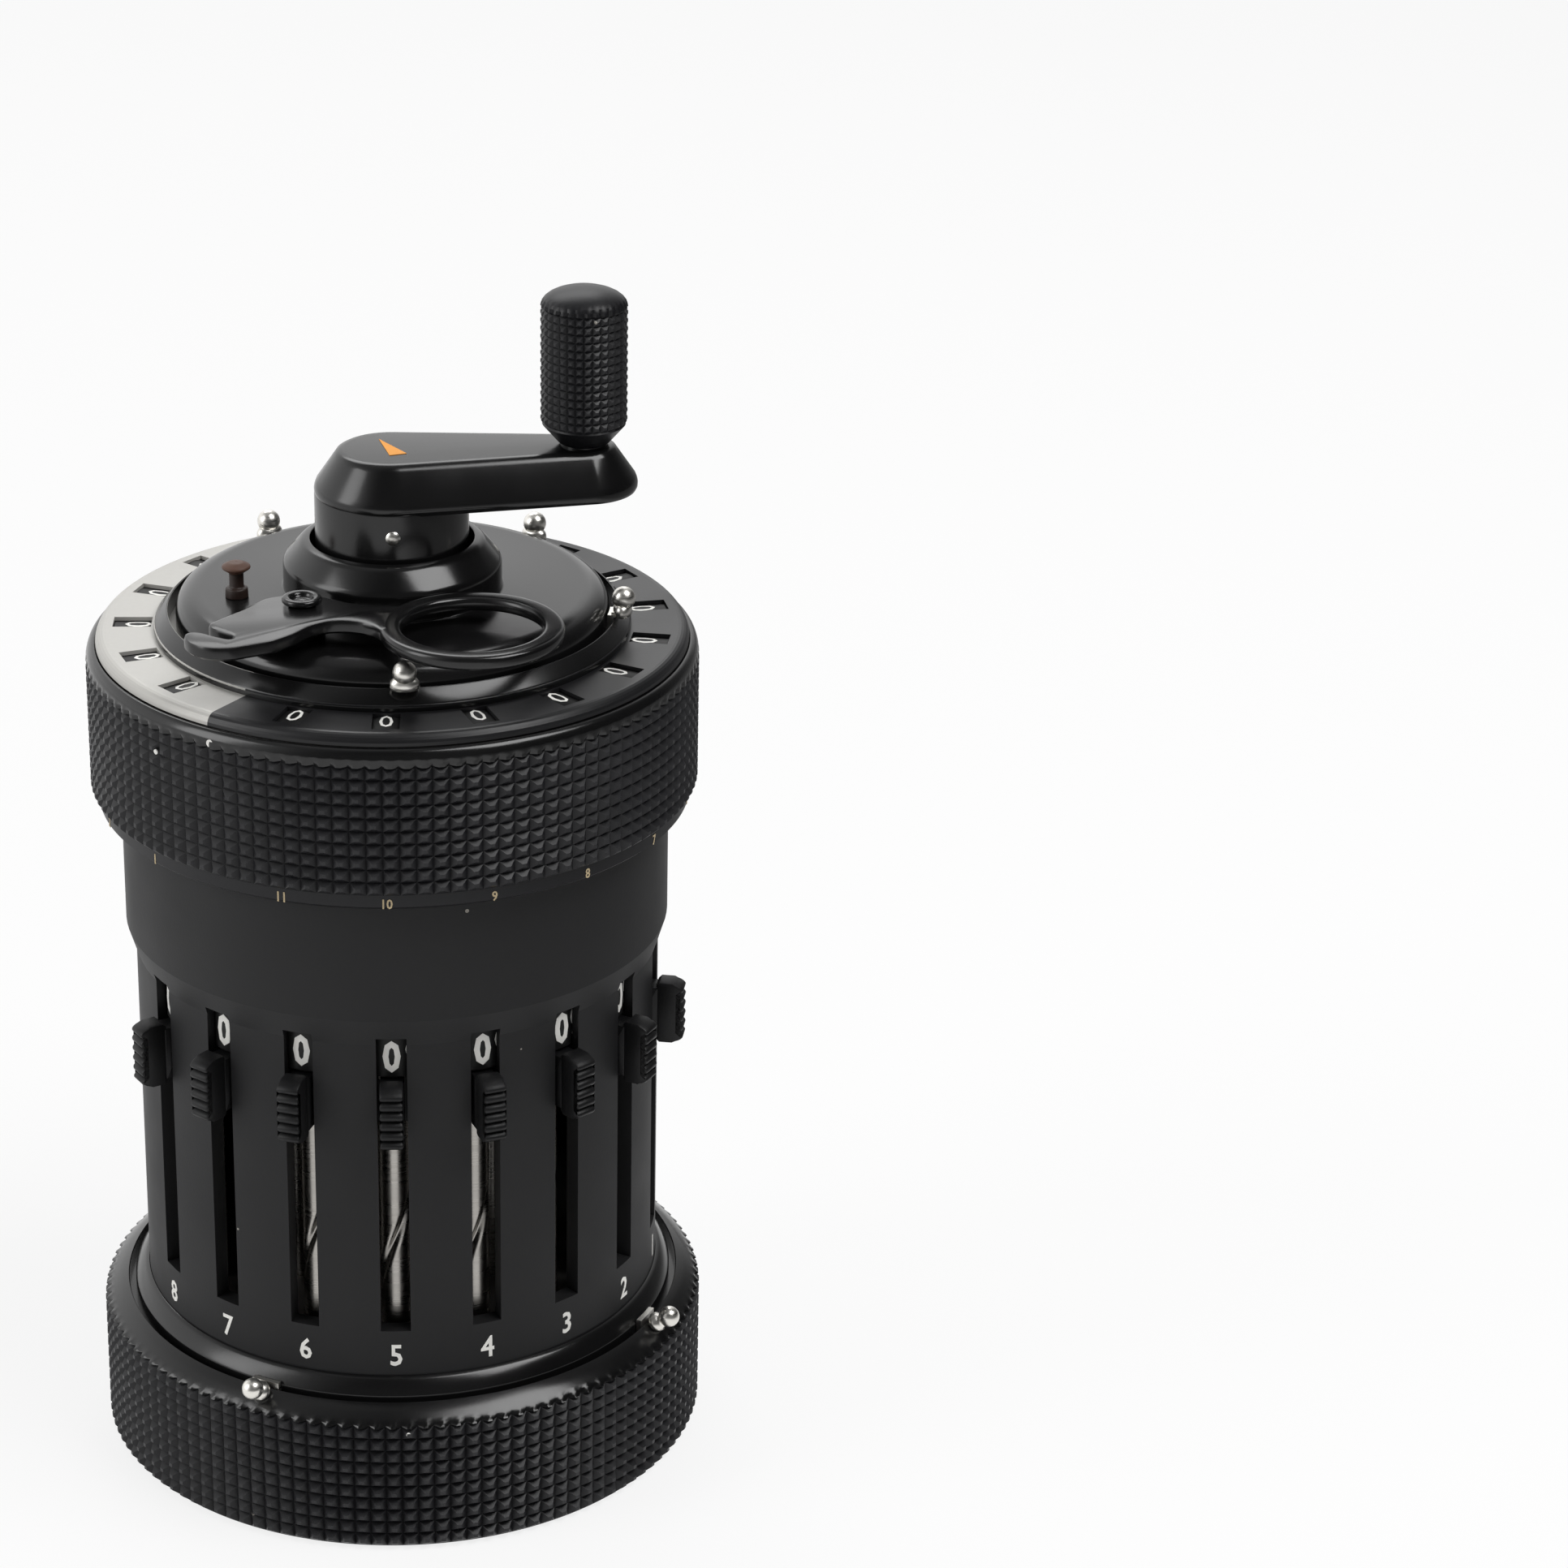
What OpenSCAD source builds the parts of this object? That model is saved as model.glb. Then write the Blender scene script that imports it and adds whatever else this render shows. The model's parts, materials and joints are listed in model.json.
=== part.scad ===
// Cylindrical hand calculator: a stepped drum in a slotted case, a lifting register carriage and a crank.
// Origin at the middle of the base, +Z up, front (between setting slots 4 and 5) towards -Y.
// Angles named "turn" are measured from the front towards +X.

/* [Base] */
// Radial width of the base ring round the case
base_w = 4.15; // [3.6:0.05:5]
// Full height of the base ring
base_h = 15.4; // [14:0.1:18]
// Height of the smooth shoulder above the base ring's knurl
base_shoulder_h = 3.1; // [2.8:0.1:3.6]
// Thickness of the base plate
base_plate_t = 1.6; // [1.2:0.1:2.2]
// Turns of the two base decimal markers
base_marker_turns = [-37.4, 52.8]; // [-180:0.5:180]

/* [Case] */
// Outer radius of the slotted case
case_r = 23.15; // [21:0.05:26]
// Wall of the case
case_wall = 1.5; // [1.2:0.1:1.6]
// How far the collar stands out from the case
collar_step = 0.8; // [0.5:0.05:1.2]
// Height of the collar at the top of the case
collar_h = 16.1; // [15:0.1:18]

/* [Setting slots and knobs] */
// Width of a setting slot
slot_w = 2.6; // [2.5:0.1:3]
// Height of the slots' lower ends above the base ring
slot_foot = 4.4; // [4:0.1:6]
// Height of a setting knob
knob_h = 5.9; // [5.6:0.1:6.8]
// Width of a setting knob
knob_w = 2; // [1.8:0.1:2.2]
// How far a knob's face stands out from the case
knob_out = 2.7; // [2:0.05:3.2]
// Knob travel for one digit
digit_step = 2; // [1.8:0.05:2.2]

/* [Mechanism] */
// Radius of a setting shaft
setting_shaft_r = 1.5; // [1.3:0.1:1.6]
// Radius of the numeral drum on a setting shaft
numeral_r = 3.1; // [2.8:0.05:3.15]
// Height of the numeral drum
numeral_h = 3.8; // [3.4:0.1:4.4]
// Radial distance between a setting shaft and its transmission shaft
shaft_span = 6.4; // [6.2:0.1:6.8]
// Radius of a transmission shaft
transmission_r = 1; // [0.8:0.1:1.1]
// Radius of the main shaft
main_shaft_r = 3; // [2.5:0.1:3.2]
// Outer radius of the guide tube that the carriage slides on
guide_r = 6; // [5.4:0.1:6.1]

/* [Carriage] */
// How far the knurled carriage ring stands out from the collar
ring_step = 2.55; // [2.3:0.05:3]
// Height of the smooth number band under the knurl
band_h = 1.4; // [1:0.1:2]
// Height of the register plate's face above the case
register_h = 12.35; // [12:0.05:13]
// Thickness of the register plate over the dials
plate_t = 0.35; // [0.3:0.05:0.45]
// Depth of the register plate's rounded rim
plate_rim = 0.95; // [0.8:0.05:1.2]
// Width of a number dial
dial_w = 3.1; // [2.8:0.1:3.2]
// How far the carriage lifts to turn
carriage_lift = 3.5; // [3:0.1:4]

/* [Clearing cover] */
// Height of the cover's flat top above the register plate
cover_h = 3.5; // [3.3:0.05:3.9]
// Outer radius of the raised collar round the crank hub
hub_collar_r = 9.4; // [9:0.1:9.5]
// Outer radius of the clearing lever's finger ring
loop_r = 7.7; // [7:0.1:8]
// Width of the finger ring's rim
loop_rim = 1.8; // [1.4:0.1:2.2]
// Thickness of the clearing lever
lever_t = 1.25; // [0.9:0.05:1.4]
// Turns of the four register decimal markers
marker_turns = [-5.7, 71.7, 132.4, -154.8]; // [-180:0.1:180]

/* [Crank] */
// Radius of the crank hub
hub_r = 6.6; // [6.2:0.1:6.7]
// Distance from the main axis to the handle's axis
crank_l = 16.5; // [15:0.1:18]
// Turn of the crank at rest
crank_turn = 85; // [-180:0.1:180]
// Height of the arm
arm_h = 4.1; // [3.8:0.1:5]
// Radius of the handle grip
grip_r = 3.74; // [3.2:0.02:4]
// Length of the handle grip
grip_l = 13.65; // [11:0.05:14]

/* [Fits] */
// Radial clearance of a shaft in its hole
fit = 0.05; // [0.03:0.01:0.08]
// Clearance between faces that move past each other
run = 0.3; // [0.25:0.05:0.35]

/* [Hidden] */
$fn = 64;
eps = 0.5;
place_pitch = 20;
slot_count = 8;
result_count = 11;
counter_count = 6;
steps = 9;

// Levels of the case, from the base up
bearing_t = 2;
base_knurl_h = base_h - base_shoulder_h;
lower_z = base_h + 1;
lower_top = lower_z + bearing_t;
slot_z0 = base_h + slot_foot;
knob_z = slot_z0 + 0.8 + steps * digit_step;
knob_z1 = knob_z + knob_h;
numeral_z = knob_z1 - 0.3;
slot_z1 = numeral_z + numeral_h + 0.3;
collar_z = slot_z1 + 0.2;
case_top = collar_z + collar_h;
upper_z = case_top - 7.6;
upper_top = upper_z + bearing_t;

// Radii of the case and its mechanism, from the case inwards
case_in_r = case_r - case_wall;
base_r = case_r + base_w;
base_plate_r = case_r + 1.2;
collar_r = case_r + collar_step;
setting_pcd_r = case_in_r - 2.25;
transmission_pcd_r = setting_pcd_r - shaft_span;
gear_gap = 0.515;
gear_r = transmission_pcd_r * sin(place_pitch / 2) - gear_gap / 2;
drum_tip_r = transmission_pcd_r - gear_r - 0.4;

// Frame details
ledge_w = 0.6;
ledge_h = 1.5;
pivot_r = 1.2;
leg_r = 2.4;
leg_pcd_r = 9.2;
leg_turns = [0, 120, 240];
screw_r = 1;
screw_head_r = 1.9;
screw_head_t = 0.8;
screw_l = 7;
screw_sink = 0.2;

// Setting mechanism
knob_gap = 0.25;
carrier_z = knob_z + 0.8;
carrier_h = 4.6;
carrier_w = 4.4;
carrier_in = 2.1;
carrier_out = 1.9;
fork_t = 1.4;
fork_w = 2.8;
gear_t = 1.9;
gear_teeth = 5;
serrations = 6;
serration_d = 0.35;

// Stepped drum and main shaft
drum_root_r = drum_tip_r - 2;
drum_z = lower_top + 1.1;
drum_h = collar_z + 1.5 - drum_z;
tooth_w = 1.3;
tooth_pitch = 15;
sector_turn = 180;
gear_mid_z = carrier_z + 0.6 + fork_t + gear_t / 2 + 0.2;
shaft_foot_z = base_plate_t + 6.4;
ratchet_r = 5.5;
ratchet_t = 2;
ratchet_teeth = 12;

// Carriage levels
ring_z = case_top - 3.2;
knurl_z = ring_z + band_h;
plate_z = case_top + register_h;
plate_low = plate_z - plate_t;
plate_rim_z = plate_z - plate_rim;
knurl_top = plate_rim_z - 1.5;
frame_z = case_top + 0.4;
frame_floor = 1;
boss_floor = 2.5;

// Carriage radii, from the ring inwards
ring_r = collar_r + ring_step;
band_r = ring_r - 0.7;
frame_out_r = ring_r - 1.6;
frame_wall = 0.7;
plate_r = frame_out_r + 0.7;
plate_round = 0.9;
dial_out_r = frame_out_r - frame_wall - 0.2;
dial_in_r = dial_out_r - dial_w;
dial_gap = 0.6586;
dial_r = dial_in_r * sin(place_pitch / 2) - dial_gap / 2;
dial_rise = 0.15;
dial_z = plate_low + dial_rise - dial_r;
axle_r = 0.7;
axle_in_r = transmission_pcd_r + 0.9;
pinion_r = 1.8;
pinion_in_r = transmission_pcd_r + 1.6;
pinion_t = 1;
frame_in_r = dial_in_r - 3.4;
boss_r = guide_r + 2.8;
spring_bore_r = guide_r + 1.6;
shaft_top = dial_z - pinion_r - 0.35;
crown_r = 1.6;
crown_t = 1.6;
window_w = 2.3;
window_in_r = dial_in_r - 0.1;
window_out_r = dial_out_r + 0.1;
rail_r0 = frame_in_r + 1.87;
rail_r1 = rail_r0 + 1.18;
rail_side_h = 0.55;
rail_h = 1.69;
sector_edges = [-175, -45];
result_turn0 = 170;
counter_turn0 = -60;

// Spring and its retainer at the top of the guide tube
retainer_r = guide_r + 1.4;
retainer_t = 1.2;
retainer_z = plate_z + 1.95;
guide_top = retainer_z + retainer_t + 0.5;
spring_in_r = guide_r + 0.3;
spring_out_r = guide_r + 1.2;

// Cover and clearing lever
cover_z = plate_z + cover_h;
cover_low = plate_z + run;
cover_r = rail_r0 - 0.7;
cover_flat_r = cover_r - 1.87;
cover_t = 1.25;
cover_bevel = 1.55;
collar_side_h = 2.45;
collar_bevel_h = 2;
hub_bore_r = hub_r + 0.4;
cavity_r = hub_collar_r - 0.5;
cavity_z = cover_z + 0.85;
lever_z = cover_z + 1.25;
pivot_turn = -43.3;
pivot_dist = cover_r - 5.47;
post_r = 1.1;
post_base_r = 1.9;
post_head_r = 1.7;
post_head_t = 0.7;
boss_round_r = 2.6;
loop_turn = 14;
loop_dist = hub_collar_r + loop_r + 0.2;
waist_in_r = hub_collar_r + 1.9;
hook_r = 1.1;
hook_turn = -50.6;
hook_dist = cover_r + 5.2;
slot_round_r = 0.5;
slot_dist = cover_r + 3.9;
slot_turns = [-43.2, -53];
// Edge of the lever's paddle and waist as distances beyond the cover's rim, with their turns
paddle_edge = [
  [-4.2, -55.5], [3.1, -53], [4.4, -52], [6.2, -51.8], [7, -48.6], [7.1, -45.5], [6.9, -43],
  [6.1, -40.6], [4.7, -38.3], [3.2, -35.2], [0.9, -32.8], [-1.8, -31.5], [-3.2, -24], [-3.1, -15]
];
pin_turn = -87.1;
pin_dist = cover_r - 5.12;

// Decimal marker grooves and shoes
groove_w = 0.6;
base_groove_r0 = case_r + 1.3;
base_groove_z = base_h - 2.6;
base_ball_r = 0.95;
base_ball_dist = base_r - 0.2;
base_ball_z = base_h - 0.65;
saddle_arc = 7.7;
saddle_in = 0.3;
saddle_h = 1.05;
marker_ball_r = 0.95;
marker_ball_dist = rail_r0 + 0.23;
marker_rise = 3.65;
shoe_arc = 6;
shoe_gap = 0.06;

// Crank
hub_low = guide_top + 0.4;
arm_z = cover_z + collar_side_h + collar_bevel_h + carriage_lift + run;
arm_top = arm_z + arm_h;
arm_end_r = hub_r - 1.95;
arm_slope = 2.2;
arm_edge = 0.8;
arm_inset = 0.15;
bore_top = arm_z + 2.6;
hub_pin_z = cover_z + 6.65;
hub_pin_r = 0.75;
hub_pin_turn = -7.5;
hub_pin_reach = hub_r - 0.5;
grip_pin_r = 1.2;
grip_pin_l = 9;
neck_r = 2.2;
neck_h = 0.25;
grip_z = arm_top + neck_h;
grip_dome = 1.4;
grip_taper = 1.7;
grip_foot_r = 2.3;

// Reversing lever on the back
reverser_turn = 150;
reverser_z = knob_z - 4.2;
reverser_h = 5;
reverser_travel = 5;
reverser_slot_w = 2.6;
reverser_w = 3.8;

// Turn of setting place n, and of the dials and shafts that stand over the places
function slot_turn(n) = (slot_count + 1 - 2 * n) * place_pitch / 2;
function result_turn(k) = result_turn0 - (k - 1) * place_pitch;
function counter_turn(k) = counter_turn0 - (k - 1) * place_pitch;
function shaft_turns() = concat(
  [for (n = [1:result_count]) slot_turn(n)],
  [for (k = [1:counter_count]) slot_turn(result_count) - 1.5 * place_pitch - (k - 1) * place_pitch]
);
function polar(dist, turn) = [dist * sin(turn), -dist * cos(turn)];

// Children are drawn with +X pointing outwards, then turned to their place
module at_turn(turn) {
  rotate([0, 0, turn - 90]) children();
}

module along_x(x0, x1, z, r) {
  translate([x0, 0, z]) rotate([0, 90, 0]) cylinder(r = r, h = x1 - x0);
}

module post(r, z0, z1) {
  translate([0, 0, z0]) cylinder(r = r, h = z1 - z0);
}

module slab(x0, x1, w, z0, z1) {
  translate([x0, -w / 2, z0]) cube([x1 - x0, w, z1 - z0]);
}

// Flat gear outline: a root disc with square teeth
module gear_2d(tip_r, teeth, depth, width) {
  circle(r = tip_r - depth);
  for (i = [0:teeth - 1])
    rotate(i * 360 / teeth) translate([0, -width / 2]) square([tip_r, width]);
}

// Case: a slotted tube with a collar, an inner ledge for the upper bearing plate and pockets for the drums
module main_casing() {
  color("#1c1c1e") difference() {
    rotate_extrude() polygon([
      [case_in_r, base_plate_t], [case_r, base_plate_t], [case_r, collar_z - 0.9],
      [collar_r, collar_z + 1.7], [collar_r, case_top], [case_in_r, case_top],
      [case_in_r, upper_z], [case_in_r - ledge_w, upper_z], [case_in_r - ledge_w, upper_z - ledge_h],
      [case_in_r, upper_z - ledge_h]
    ]);
    for (n = [1:slot_count])
      at_turn(slot_turn(n)) {
        slab(case_in_r - eps, case_r + 1 + eps, slot_w, slot_z0, slot_z1);
        translate([setting_pcd_r, 0]) post(numeral_r + 0.1, numeral_z - 0.15, numeral_z + numeral_h + 0.15);
      }
    at_turn(reverser_turn) slab(case_in_r - eps, case_r + eps, reverser_slot_w,
      reverser_z - reverser_travel - run, reverser_z + reverser_h + run);
  }
}

// Base ring: knurled band, sloping shoulder and the groove of the base markers
module base_ring() {
  in_r = case_r + fit;
  groove_r1 = base_groove_r0 + groove_w;
  color("#1a1a1b") rotate_extrude() polygon([
    [base_plate_r + fit, 0], [base_r - 0.7, 0], [base_r, 0.7], [base_r, base_knurl_h],
    [base_r - 0.9, base_knurl_h + 0.7], [groove_r1 + 0.6, base_h - 1.85], [groove_r1, base_h - 1.5],
    [groove_r1, base_groove_z], [base_groove_r0, base_groove_z], [base_groove_r0, base_h - 1.25],
    [in_r + 0.4, base_h - 0.15], [in_r, base_h],
    [in_r, base_plate_t], [base_plate_r + fit, base_plate_t]
  ]);
}

module base_plate() {
  color("#2a2a2c") difference() {
    post(base_plate_r, 0, base_plate_t);
    for (t = leg_turns) at_turn(t) translate([leg_pcd_r, 0]) {
      post(screw_r + fit, -eps, base_plate_t + eps);
      post(screw_head_r + fit, -eps, screw_sink + screw_head_t);
    }
  }
}

module base_screws() {
  color("#9a9a9c") for (t = leg_turns) at_turn(t) translate([leg_pcd_r, 0]) difference() {
    union() {
      post(screw_head_r, screw_sink, screw_sink + screw_head_t);
      post(screw_r, screw_sink, screw_sink + screw_l);
    }
    slab(-screw_head_r, screw_head_r, 0.5, 0, screw_sink + 0.35);
  }
}

// Lower bearing plate on three legs, with the pivots of all the shafts
module lower_bearing_plate() {
  color("#8f9094") difference() {
    union() {
      post(case_in_r - 2 * fit, lower_z, lower_top);
      for (t = leg_turns) at_turn(t) translate([leg_pcd_r, 0]) post(leg_r, base_plate_t, lower_z + eps);
    }
    shaft_holes(lower_z);
    post(main_shaft_r + fit, 0, lower_top + eps);
    for (t = leg_turns) at_turn(t) translate([leg_pcd_r, 0])
      post(screw_r + fit, base_plate_t - eps, screw_sink + screw_l + 0.5);
  }
}

module shaft_holes(z) {
  for (t = shaft_turns()) at_turn(t) translate([transmission_pcd_r, 0])
    post(transmission_r + fit, z - eps, z + bearing_t + eps);
  for (n = [1:slot_count]) at_turn(slot_turn(n)) translate([setting_pcd_r, 0])
    post(pivot_r + fit, z - eps, z + bearing_t + eps);
}

// Upper bearing plate with the guide tube of the carriage and the main shaft's bore
module upper_bearing_plate() {
  color("#8f9094") difference() {
    union() {
      post(case_in_r - 2 * fit, upper_z, upper_top);
      post(guide_r, upper_z, guide_top);
    }
    shaft_holes(upper_z);
    post(main_shaft_r + fit, 0, guide_top + eps);
  }
}

module transmission_shafts() {
  color("#b9babd") for (t = shaft_turns()) at_turn(t) translate([transmission_pcd_r, 0]) {
    post(transmission_r, lower_z, shaft_top);
    translate([0, 0, shaft_top - crown_t]) linear_extrude(crown_t) gear_2d(crown_r, 6, 0.5, 0.6);
  }
}

// Carriage spring, as its closed outer shape, and the retainer that holds it down
module carriage_spring() {
  color("#a8a9ac") {
    sleeve(spring_in_r, spring_out_r, frame_z + boss_floor, retainer_z);
    sleeve(guide_r + fit, retainer_r, retainer_z, retainer_z + retainer_t);
  }
}

module sleeve(r0, r1, z0, z1) {
  difference() {
    post(r1, z0, z1);
    post(r0, z0 - eps, z1 + eps);
  }
}

// Reversing lever: a thumb piece outside the case, a stem in the slot and a plate inside
module reversing_lever() {
  stem_w = reverser_slot_w - 0.2;
  color("#161617") at_turn(reverser_turn) {
    difference() {
      slab(case_r + knob_gap, case_r + knob_out, reverser_w, reverser_z, reverser_z + reverser_h);
      for (i = [1:3])
        slab(case_r + knob_out - serration_d, case_r + knob_out + eps, reverser_w + 1,
          reverser_z + i * 1.2 - 0.2, reverser_z + i * 1.2 + 0.3);
    }
    slab(case_in_r - 1.8, case_r + knob_gap, stem_w, reverser_z + 0.3, reverser_z + reverser_h - 0.3);
    slab(case_in_r - 1.8, case_in_r - 0.5, 2 * stem_w, reverser_z + 0.3, reverser_z + reverser_h - 0.3);
  }
}

// Decimal marker: an arc shoe in its groove, a slanted stem and a ball
module marker(turn, r0, z0, z1, ball_r, ball_dist, ball_z) {
  mid_r = r0 + groove_w / 2;
  lean = atan2(ball_dist - mid_r, ball_z - z1);
  color("#d4d5d8") at_turn(turn) {
    arc_block(r0 + shoe_gap, r0 + groove_w - shoe_gap, z0 + shoe_gap, z1, shoe_arc);
    translate([mid_r, 0, z1 - 0.3]) rotate([0, lean, 0])
      cylinder(r = 0.42, h = norm([ball_dist - mid_r, ball_z - z1]) + 0.3);
    translate([ball_dist, 0, ball_z]) sphere(r = ball_r);
  }
}

module base_marker(i) {
  marker(base_marker_turns[i - 1], base_groove_r0, base_groove_z, base_h - 1, base_ball_r, base_ball_dist, base_ball_z);
}

// Register marker: a shoe between the rail and the cover, a saddle over the rail and a ball
module register_marker(i) {
  shoe_r0 = cover_r + 2 * shoe_gap;
  saddle_z = plate_z + rail_h + shoe_gap;
  color("#d4d5d8") at_turn(marker_turns[i - 1]) {
    arc_block(shoe_r0, rail_r0 - shoe_gap, plate_z + shoe_gap, saddle_z + 0.2, shoe_arc);
    arc_block(rail_r0 - saddle_in, rail_r1 - 0.1, saddle_z, saddle_z + saddle_h, saddle_arc);
    translate([marker_ball_dist, 0, plate_z + marker_rise]) sphere(r = marker_ball_r);
  }
}

module arc_block(r0, r1, z0, z1, arc) {
  rotate([0, 0, -arc / 2]) rotate_extrude(angle = arc, $fn = 180)
    translate([r0, z0]) square([r1 - r0, z1 - z0]);
}

// Setting knob with its carrier on the setting shaft, and the gear that its fork holds
module setting_knob(n) {
  face_r = case_r + knob_out;
  stem_z0 = knob_z + 0.5;
  fork_z = carrier_z + 0.6;
  serration_pitch = knob_h / (serrations + 0.5);
  color("#161617") at_turn(slot_turn(n)) {
    difference() {
      union() {
        slab(case_r + knob_gap, face_r, knob_w, knob_z, knob_z1);
        slab(setting_pcd_r, case_r + knob_gap + 0.1, knob_w, stem_z0, knob_z1 - 0.5);
        slab(setting_pcd_r - carrier_in, setting_pcd_r + carrier_out, carrier_w, carrier_z, carrier_z + carrier_h);
        slab(transmission_pcd_r - fork_w / 2, setting_pcd_r - carrier_in + 0.1, fork_w, fork_z, fork_z + fork_t);
      }
      for (i = [1:serrations])
        slab(face_r - serration_d, face_r + eps, knob_w + 1,
          knob_z + (i - 0.25) * serration_pitch, knob_z + (i + 0.25) * serration_pitch);
      translate([setting_pcd_r, 0]) post(setting_shaft_r + fit, knob_z - eps, knob_z1 + eps);
      translate([transmission_pcd_r, 0]) post(transmission_r + fit, knob_z - eps, knob_z1 + eps);
    }
    translate([transmission_pcd_r, 0, fork_z + fork_t + 0.2]) linear_extrude(gear_t) difference() {
      gear_2d(gear_r, gear_teeth, 0.6, 0.8);
      circle(r = transmission_r + fit);
    }
  }
}

// Setting shaft with its numeral drum and end pivots
module setting_shaft(n) {
  color("#b9babd") at_turn(slot_turn(n)) translate([setting_pcd_r, 0]) {
    post(pivot_r, lower_z + 0.1, upper_top - 0.1);
    post(setting_shaft_r, lower_top + 0.1, upper_z - 0.1);
    post(numeral_r, numeral_z, numeral_z + numeral_h);
  }
}

// Carriage ring: number band, knurled band and the smooth shoulder under the plate's rim
module carriage_ring() {
  in_r = frame_out_r + fit;
  color("#1a1a1b") rotate_extrude() polygon([
    [in_r, ring_z], [band_r - 0.4, ring_z], [band_r, ring_z + 0.4], [band_r, knurl_z],
    [ring_r, knurl_z], [ring_r, knurl_top], [ring_r - 0.15, knurl_top + 0.8],
    [ring_r - 0.45, plate_rim_z - 0.25], [plate_r, plate_rim_z - fit], [in_r, plate_rim_z - fit]
  ]);
}

// Register plate sectors: a thin top with a rounded rim, the markers' rail and a window over each dial
module plate_sector(from, to, turns) {
  rim_in_r = frame_out_r + fit;
  round_r = plate_r - plate_round;
  difference() {
    rotate([0, 0, from - 90]) rotate_extrude(angle = to - from, $fn = 180) polygon(concat(
      [[frame_in_r - 0.9, plate_low], [rim_in_r, plate_low], [rim_in_r, plate_rim_z], [plate_r, plate_rim_z]],
      [for (a = [0:15:90]) [round_r + plate_round * cos(a), plate_z - plate_round * (1 - sin(a))]],
      [[rail_r1, plate_z], [rail_r1, plate_z + rail_side_h], [rail_r0, plate_z + rail_h],
       [rail_r0, plate_z], [frame_in_r - 0.9, plate_z]]
    ));
    for (t = turns) at_turn(t) slab(window_in_r, window_out_r, window_w, plate_low - eps, plate_z + eps);
  }
}

module counter_plate() {
  color("#d8d6d0")
    plate_sector(sector_edges[0], sector_edges[1], [for (k = [1:counter_count]) counter_turn(k)]);
}

module result_plate() {
  color("#1c1c1e")
    plate_sector(sector_edges[1], sector_edges[0] + 360, [for (k = [1:result_count]) result_turn(k)]);
}

function dial_turns() = concat(
  [for (k = [1:counter_count]) counter_turn(k)],
  [for (k = [1:result_count]) result_turn(k)]
);

// Dial frame: two walls that carry the dial axles, a floor, a web and the boss on the guide tube
module dial_frame() {
  color("#77787c") difference() {
    rotate_extrude() polygon([
      [guide_r + fit, frame_z], [boss_r, frame_z], [boss_r, plate_low - 1], [frame_in_r, plate_low - 1],
      [frame_in_r, frame_z], [frame_out_r, frame_z], [frame_out_r, plate_low],
      [frame_out_r - frame_wall, plate_low], [frame_out_r - frame_wall, frame_z + frame_floor],
      [frame_in_r + frame_wall, frame_z + frame_floor], [frame_in_r + frame_wall, plate_low],
      [spring_bore_r, plate_low], [spring_bore_r, frame_z + boss_floor], [guide_r + fit, frame_z + boss_floor]
    ]);
    for (t = dial_turns()) at_turn(t) along_x(frame_in_r - eps, frame_out_r + eps, dial_z, axle_r + fit);
  }
}

// Number dial with its axle and the pinion above the transmission shafts
module number_dial(turn) {
  color("#202022") at_turn(turn) {
    along_x(dial_in_r, dial_out_r, dial_z, dial_r);
    along_x(axle_in_r, frame_out_r - 0.2, dial_z, axle_r);
    translate([pinion_in_r, 0, dial_z]) rotate([0, 90, 0])
      linear_extrude(pinion_t) gear_2d(pinion_r, 10, 0.45, 0.5);
  }
}

// Clearing cover: bevelled disc, raised collar round the hub, and the lever's riveted post
module top_cover() {
  color("#151516") {
    rotate_extrude() polygon([
      [cover_r, cover_low], [cover_r, cover_z - cover_bevel], [cover_r - 0.4, cover_z - 0.7],
      [cover_r - 1.1, cover_z - 0.22], [cover_flat_r, cover_z], [hub_collar_r, cover_z], [hub_collar_r, cover_z + collar_side_h],
      [hub_bore_r + 0.6, cover_z + collar_side_h + collar_bevel_h],
      [hub_bore_r, cover_z + collar_side_h + collar_bevel_h], [hub_bore_r, cavity_z],
      [cavity_r, cavity_z], [cavity_r, cover_z - cover_t], [cover_r - 1.5, cover_z - cover_t],
      [cover_r - 1.5, cover_low]
    ]);
    translate(polar(pivot_dist, pivot_turn)) difference() {
      union() {
        post(post_base_r, cover_z - 0.2, lever_z - 0.1);
        post(post_r, cover_z - 0.2, lever_z + lever_t + 0.2);
        post(post_head_r, lever_z + lever_t + 0.1, lever_z + lever_t + 0.1 + post_head_t);
      }
      slab(-post_head_r, post_head_r, 0.45, lever_z + lever_t + 0.45, lever_z + lever_t + 1);
    }
  }
}

module cover_pin() {
  color("#5a3a28") translate(polar(pin_dist, pin_turn)) {
    post(1, cover_z, cover_z + 0.9);
    post(0.62, cover_z, cover_z + 2.4);
    translate([0, 0, cover_z + 2.2]) rotate_extrude()
      polygon([[0, 0], [0.62, 0], [1.25, 0.45], [1.1, 0.75], [0.6, 0.95], [0, 1]]);
  }
}

// Clearing lever: a flat finger ring, a waist round the hub collar, and a paddle with a hooked slot
module clearing_lever() {
  pivot = polar(pivot_dist, pivot_turn);
  loop = polar(loop_dist, loop_turn);
  color("#151516") translate([0, 0, lever_z]) linear_extrude(lever_t) difference() {
    union() {
      translate(loop) circle(r = loop_r);
      translate(pivot) circle(r = boss_round_r);
      polygon(concat(
        [for (p = paddle_edge) polar(cover_r + p[0], p[1])],
        [for (t = [-4:-8:-36]) polar(waist_in_r, t)]
      ));
      translate(polar(hook_dist, hook_turn)) circle(r = hook_r);
    }
    translate(loop) circle(r = loop_r - loop_rim);
    translate(pivot) circle(r = post_r + fit);
    polygon([
      for (t = slot_turns) polar(slot_dist - slot_round_r, t),
      for (t = [slot_turns[1] - 3, slot_turns[0]]) polar(slot_dist + slot_round_r, t)
    ]);
  }
}

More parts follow.
